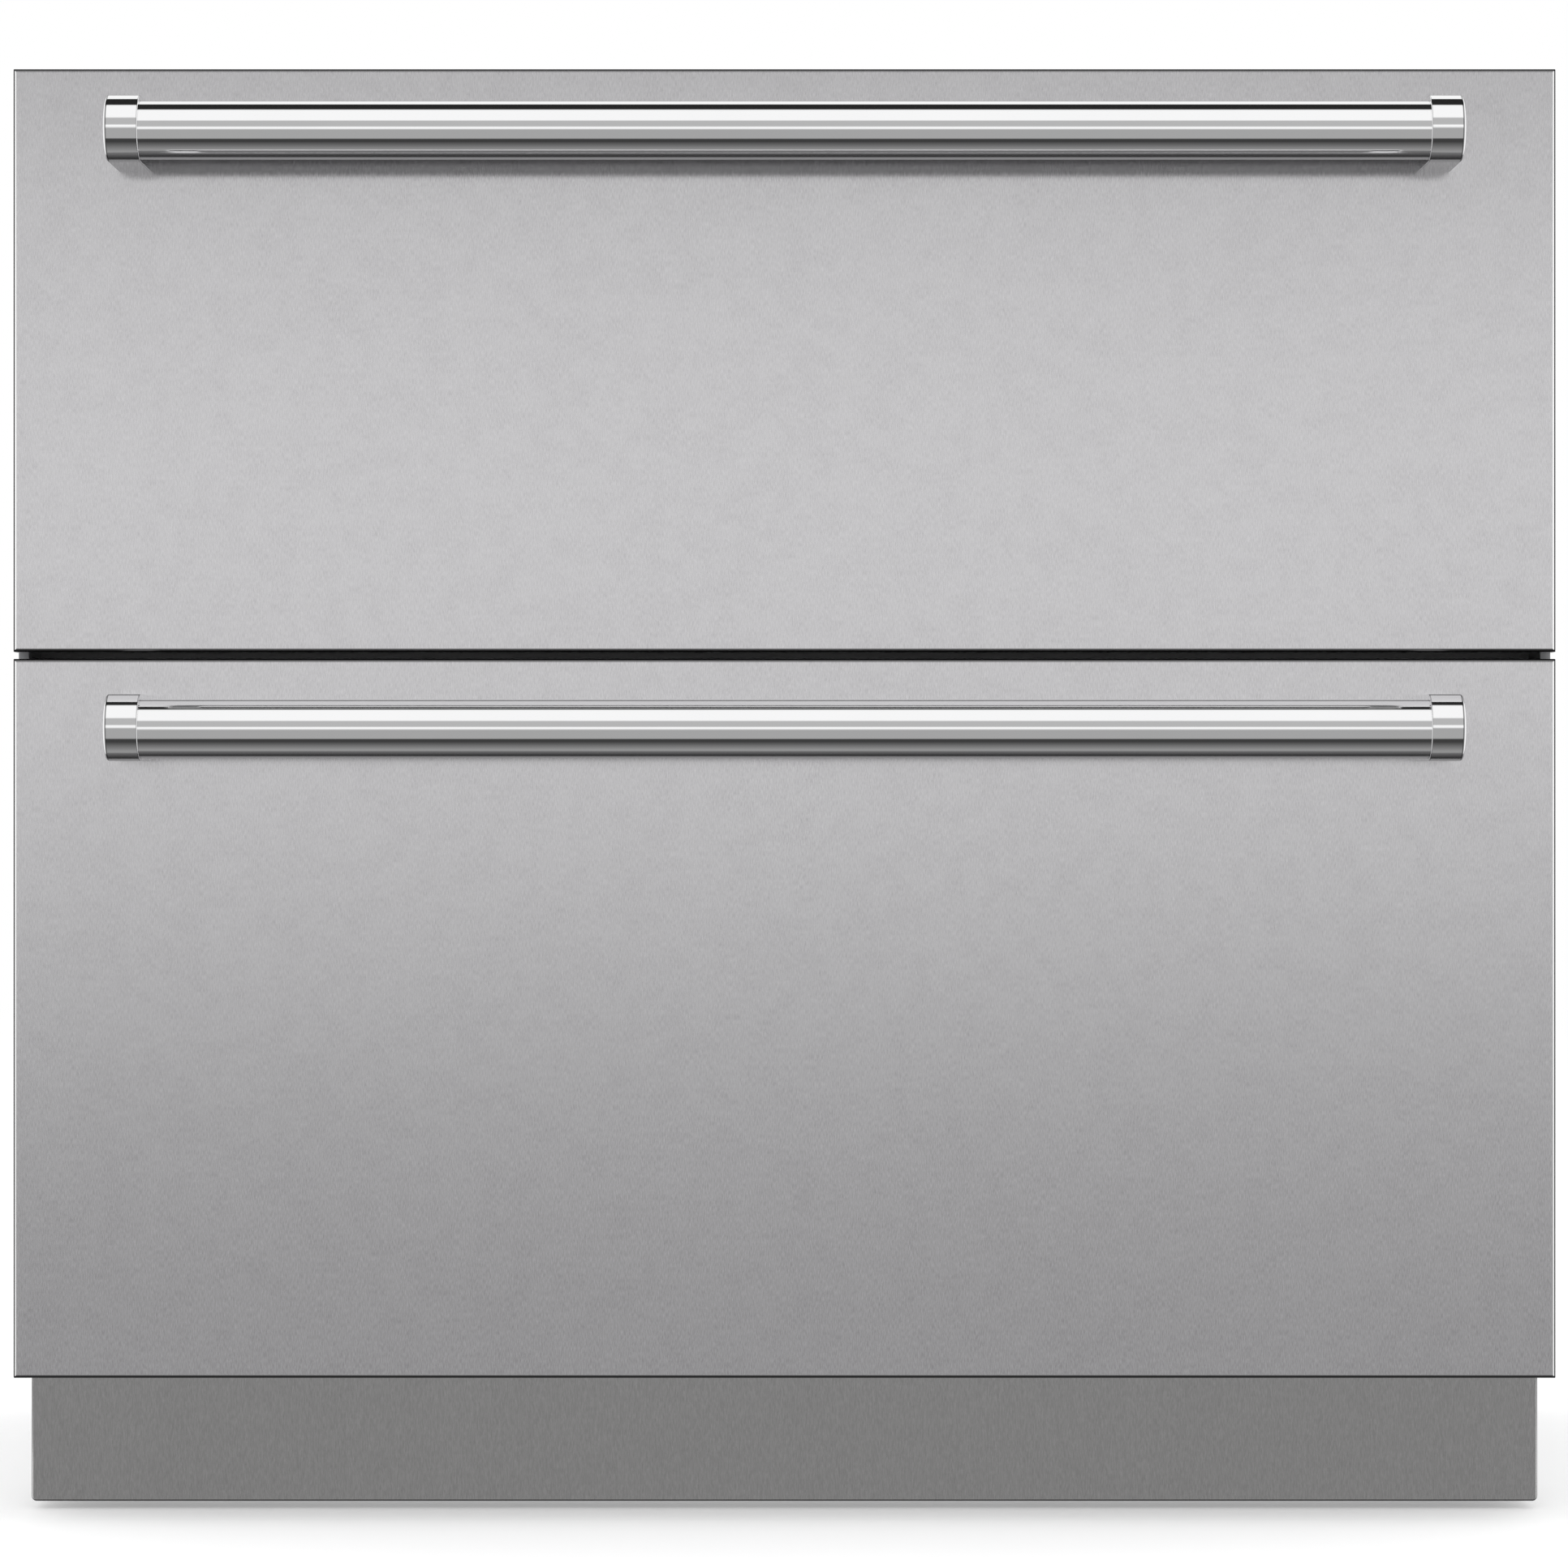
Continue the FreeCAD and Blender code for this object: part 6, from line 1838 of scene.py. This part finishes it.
# ---- Cold compartment --------------------------------------------------------------------
@dataclass
class ColdCompartment:
    """Liner, air duct, lamp and controls inside the cabinet."""

    fitter: Fitter
    liner_corner: float = 5.0 * MM
    wall_margin: float = 1.0 * MM
    duct_edge: float = 0.3 * MM
    cooler_edge: float = 0.25 * MM
    fan_edge: float = 0.4 * MM
    lens_corner: float = 3.0 * MM
    lens_border: float = 2.0 * MM
    lens_step: float = 0.6 * MM
    panel_edge: float = 0.6 * MM
    button_edge: float = 0.5 * MM
    button_rim: float = 1.0 * MM
    button_slope: float = 1.2 * MM
    button_dish: float = 0.4 * MM
    window: Span = (16.0 * MM, 7.0 * MM)
    window_rise: float = 0.5 * MM
    window_sink: float = 0.4 * MM

    def build(self) -> None:
        """Build and dress all pieces inside the compartment."""
        self.liner()
        self.fitter.fit_copy("evaporator_cover", "air_duct", self.duct_edge)
        self.lamp()
        self.controls()
        for name in ("colder", "warmer"):
            self.button(name)
        for node in ("evaporator", "evaporator_fan_motor"):
            self.fitter.fit_copy(node, f"{node}_unit", self.cooler_edge, steps=1)
        self.fitter.fit_copy("evaporator_fan", "evaporator_fan_rotor", self.fan_edge,
                             limit=50, angle=40)

    def liner(self) -> bpy.types.Object:
        """Moulded liner with rounded inner corners.

        Returns:
            The dressed piece.
        """
        piece = node_copy("inner_liner", "compartment_liner")
        low, high = corners("inner_liner")
        front, side = low.y + self.wall_margin, high.x - self.wall_margin
        round_edges(piece, lambda a, b: min(a.y, b.y) > front and max(abs(a.x), abs(b.x)) < side,
                    self.liner_corner, 4)
        smooth(piece)
        return self.fitter.fit(piece, "inner_liner")

    def lamp(self) -> bpy.types.Object:
        """Frosted lamp bar with a rounded lower edge and a sunk field.

        Returns:
            The dressed piece.
        """
        low, high = corners("light_lens")
        piece = add_block("lamp_lens", low, high)
        round_edges(piece, lambda a, b: at(a.z, low.z) and at(b.z, low.z), self.lens_corner, 5)
        with shaping(piece):
            choose_faces(piece, lambda middle, normal: normal.z < -0.95)
            bpy.ops.mesh.inset(thickness=self.lens_border)
            bpy.ops.mesh.inset(thickness=self.lens_step, depth=-self.lens_step)
        smooth(piece)
        return self.fitter.fit(piece, "light_lens")

    def controls(self) -> bpy.types.Object:
        """Control housing with softened edges and a plain window between the buttons.

        Returns:
            The dressed piece.
        """
        piece = node_copy("control_panel", "control_housing")
        soften(piece, self.panel_edge, 2, 50)
        low, high = corners("control_panel")
        wide, tall = self.window
        middle = (low.z + high.z) / 2
        pane = add_block("window", (-wide / 2, low.y - self.window_rise, middle - tall / 2),
                         (wide / 2, low.y + self.window_sink, middle + tall / 2))
        soften(pane, self.window_sink, 3)
        piece = join("control_housing", [piece, pane])
        smooth(piece)
        return self.fitter.fit(piece, "control_panel")

    def button(self, name: str) -> bpy.types.Object:
        """Round button with a dished face.

        Args:
            name: Start of its node's name.

        Returns:
            The dressed piece.
        """
        node = f"{name}_button"
        low, high = corners(node)
        radius = (high.x - low.x) / 2
        centre = ((low.x + high.x) / 2, low.y, (low.z + high.z) / 2)
        piece = add_rod(f"{name}_push_button", centre, 1, high.y - low.y, radius, 40)
        round_edges(piece, lambda a, b: at(a.y, low.y) and at(b.y, low.y), self.button_edge)
        with shaping(piece):
            choose_faces(piece, lambda middle, normal: normal.y < -0.95)
            bpy.ops.mesh.inset(thickness=self.button_rim)
            bpy.ops.mesh.inset(thickness=self.button_slope, depth=-self.button_dish)
        smooth(piece)
        return self.fitter.fit(piece, node)


@dataclass
class MachineBay:
    """Compressor, condenser, what stands beside them on the tray, and the gear racks."""

    fitter: Fitter
    rack_edge: float = 0.15 * MM

    def build(self) -> None:
        """Dress every piece of the bay."""
        edges = {"compressor": 0.8 * MM, "condenser": 0.25 * MM, "condenser_fan_motor": 0.5 * MM,
                 "condenser_fan": 0.5 * MM, "drain_pan": 0.6 * MM, "refrigerant_lines": 0.4 * MM}
        for node, width in edges.items():
            self.fitter.fit_copy(node, f"{node}_unit", width, limit=50, angle=40)
        self.fitter.fit_copy("gear_racks", "toothed_racks", self.rack_edge, steps=1)


# ---- Studio ------------------------------------------------------------------------------
@dataclass(frozen=True)
class Card:
    """A bright or dark stretch of the studio, in degrees above straight ahead of the fronts."""

    start: float
    end: float
    level: float


@dataclass(frozen=True)
class Lamp:
    """A square soft lamp that the camera and the metal don't see."""

    name: str
    place: Point
    size: float
    power: float


@dataclass
class Studio:
    """Camera, floor, soft lamps and surroundings."""

    camera_x: float = -0.0003
    camera_y: float = -3.42245
    camera_z: float = 0.440
    view_width: float = 0.9293
    front_y: float = -0.27245
    sensor_width: float = 36.0
    far_clip: float = 60.0
    floor_size: float = 14.0
    floor_colours: Tuple[Colour, Colour] = ((0.90, 0.90, 0.90), (0.92, 0.92, 0.92))
    floor_glow: float = 0.28
    sky: float = 0.78
    side_blend: Span = (0.50, 0.60)
    aim: Point = (0, 0, 0.45)
    soft_lamps: Tuple[Lamp, ...] = (Lamp("overhead", (0, -0.4, 3.2), 3.4, 30.0),
                                    Lamp("front_fill", (0, -3.6, 2.2), 3.0, 22.0))
    cards: Tuple[Card, ...] = (
        Card(-180, -90, 0.3),   # dim room behind and below
        Card(-52, -42, 0.05),   # black cloth at the foot of the set
        Card(-38, -5, 0.4),     # grey wall below the lens
        Card(1, 6, 1.0),        # white card at the height of the lens
        Card(9, 30, 0.5),       # grey wall above the card
        Card(34, 80, 1.0),      # large soft box in front, overhead
        Card(85, 115, 0.02),    # black flag over the set
        Card(120, 150, 1.0),    # soft box behind
        Card(165, 180, 0.3))    # dim room behind

    def build(self) -> None:
        """Set up the whole studio."""
        scene = bpy.context.scene
        scene.view_settings.view_transform = "Standard"
        self.camera()
        self.floor()
        self.world()
        self.lamps()

    def camera(self) -> bpy.types.Object:
        """Camera straight in front, at the photograph's height and distance.

        Returns:
            The camera.
        """
        data = bpy.data.cameras.new("front_camera")
        camera = bpy.data.objects.new("front_camera", data)
        bpy.context.scene.collection.objects.link(camera)
        camera.location = (self.camera_x, self.camera_y, self.camera_z)
        camera.rotation_euler = (math.pi / 2, 0, 0)
        data.sensor_fit = "HORIZONTAL"
        data.sensor_width = self.sensor_width
        data.lens = data.sensor_width * (self.front_y - self.camera_y) / self.view_width
        data.clip_end = self.far_clip
        bpy.context.scene.camera = camera
        return camera

    def floor(self) -> bpy.types.Object:
        """Pale floor that keeps the object's shadow.

        Returns:
            The floor.
        """
        put_down()
        bpy.ops.mesh.primitive_plane_add(size=self.floor_size, location=(0, 0, 0))
        floor = settle(bpy.context.object, "studio_floor")
        material, wiring = new_material("pale_floor")
        skin = Effect.SKIN.place(wiring, Fine_Scale=60.0, Broad_Scale=1.2)
        colour = wiring.mix(skin.outputs["Cloud"], *self.floor_colours)
        diffuse = wiring.add("ShaderNodeBsdfDiffuse", {"Color": colour})
        glow = wiring.add("ShaderNodeEmission", {"Color": (1, 1, 1, 1),
                                                  "Strength": self.floor_glow})
        rays = wiring.add("ShaderNodeLightPath")
        dark = wiring.add("ShaderNodeEmission", {"Strength": 0.0})
        lit = wiring.add("ShaderNodeMixShader", {0: rays.outputs["Is Camera Ray"],
                                                 1: dark.outputs[0], 2: glow.outputs[0]})
        total = wiring.add("ShaderNodeAddShader", {0: diffuse.outputs[0], 1: lit.outputs[0]})
        wiring.add("ShaderNodeOutputMaterial", {"Surface": total.outputs[0]})
        floor.data.materials.append(material)
        floor.visible_glossy = False
        return floor

    def world(self) -> None:
        """Surroundings: white to the camera, the studio's cards to metal, blended between them."""
        world = bpy.data.worlds.new("soft_studio")
        bpy.context.scene.world = world
        world.use_nodes = True
        world.node_tree.nodes.clear()
        wiring = Wiring(world.node_tree)
        where = wiring.add("ShaderNodeTexCoord").outputs["Generated"]
        parts = wiring.add("ShaderNodeSeparateXYZ", {0: where})
        forward = wiring.math("MULTIPLY", parts.outputs[1], -1.0)
        turn = wiring.math("ARCTAN2", parts.outputs[2], forward)
        place = wiring.spread(turn, (-math.pi, math.pi), (0.0, 1.0))
        ramp = wiring.add("ShaderNodeValToRGB", {0: place})
        stops = ramp.color_ramp.elements
        edges = [(angle, card.level) for card in self.cards for angle in (card.start, card.end)]
        while len(stops) < len(edges):
            stops.new(0.5)
        for stop, (degrees, level) in zip(stops, edges):
            stop.position = (degrees + 180) / 360
            stop.color = (level, level, level, 1)
        rays = wiring.add("ShaderNodeLightPath")
        aside = wiring.math("ABSOLUTE", parts.outputs[0])
        beside = wiring.spread(aside, self.side_blend, (0.0, 1.0))
        seen_by_metal = wiring.mix(beside, ramp.outputs[0], (1, 1, 1))
        metal = wiring.add("ShaderNodeBackground", {"Color": seen_by_metal, "Strength": 1.0})
        white = wiring.add("ShaderNodeBackground", {"Color": (1, 1, 1, 1), "Strength": 1.0})
        soft = wiring.add("ShaderNodeBackground", {"Color": (1, 1, 1, 1), "Strength": self.sky})
        seen = wiring.math("MAXIMUM", rays.outputs["Is Camera Ray"],
                           rays.outputs["Is Transmission Ray"])
        first = wiring.add("ShaderNodeMixShader", {0: rays.outputs["Is Glossy Ray"],
                                                   1: soft.outputs[0], 2: metal.outputs[0]})
        second = wiring.add("ShaderNodeMixShader", {0: seen, 1: first.outputs[0],
                                                    2: white.outputs[0]})
        wiring.add("ShaderNodeOutputWorld", {"Surface": second.outputs[0]})

    def lamps(self) -> None:
        """Large soft lamps above and in front."""
        for soft in self.soft_lamps:
            data = bpy.data.lights.new(soft.name, "AREA")
            data.shape = "SQUARE"
            data.size = soft.size
            data.energy = soft.power
            lamp = bpy.data.objects.new(soft.name, data)
            bpy.context.scene.collection.objects.link(lamp)
            lamp.location = soft.place
            aim = Vector(self.aim) - Vector(soft.place)
            lamp.rotation_euler = aim.to_track_quat("-Z", "Y").to_euler()
            lamp.visible_camera = False
            lamp.visible_glossy = False


def main() -> None:
    """Build every sub-assembly in order, then the studio."""
    logging.basicConfig(level=logging.INFO, format="%(name)s: %(message)s")
    fitter = Fitter(Palette())
    for drawer in Drawer:
        DrawerFront(drawer, fitter).build()
        BarHandle(drawer, fitter).build()
        StorageBin(drawer, fitter).build()
        DrawerRunner(drawer, fitter).build()
    CabinetShell(fitter).build()
    for corner in ("front_left", "front_right", "rear_left", "rear_right"):
        LevelingLeg(corner, fitter).build()
    Fasteners(fitter).build()
    RearCover(fitter).build()
    ColdCompartment(fitter).build()
    MachineBay(fitter).build()
    if fitter.left:
        LOG.warning("nodes without a finish: %s", sorted(fitter.left))
    Studio().build()


if __name__ == "__main__":
    main()
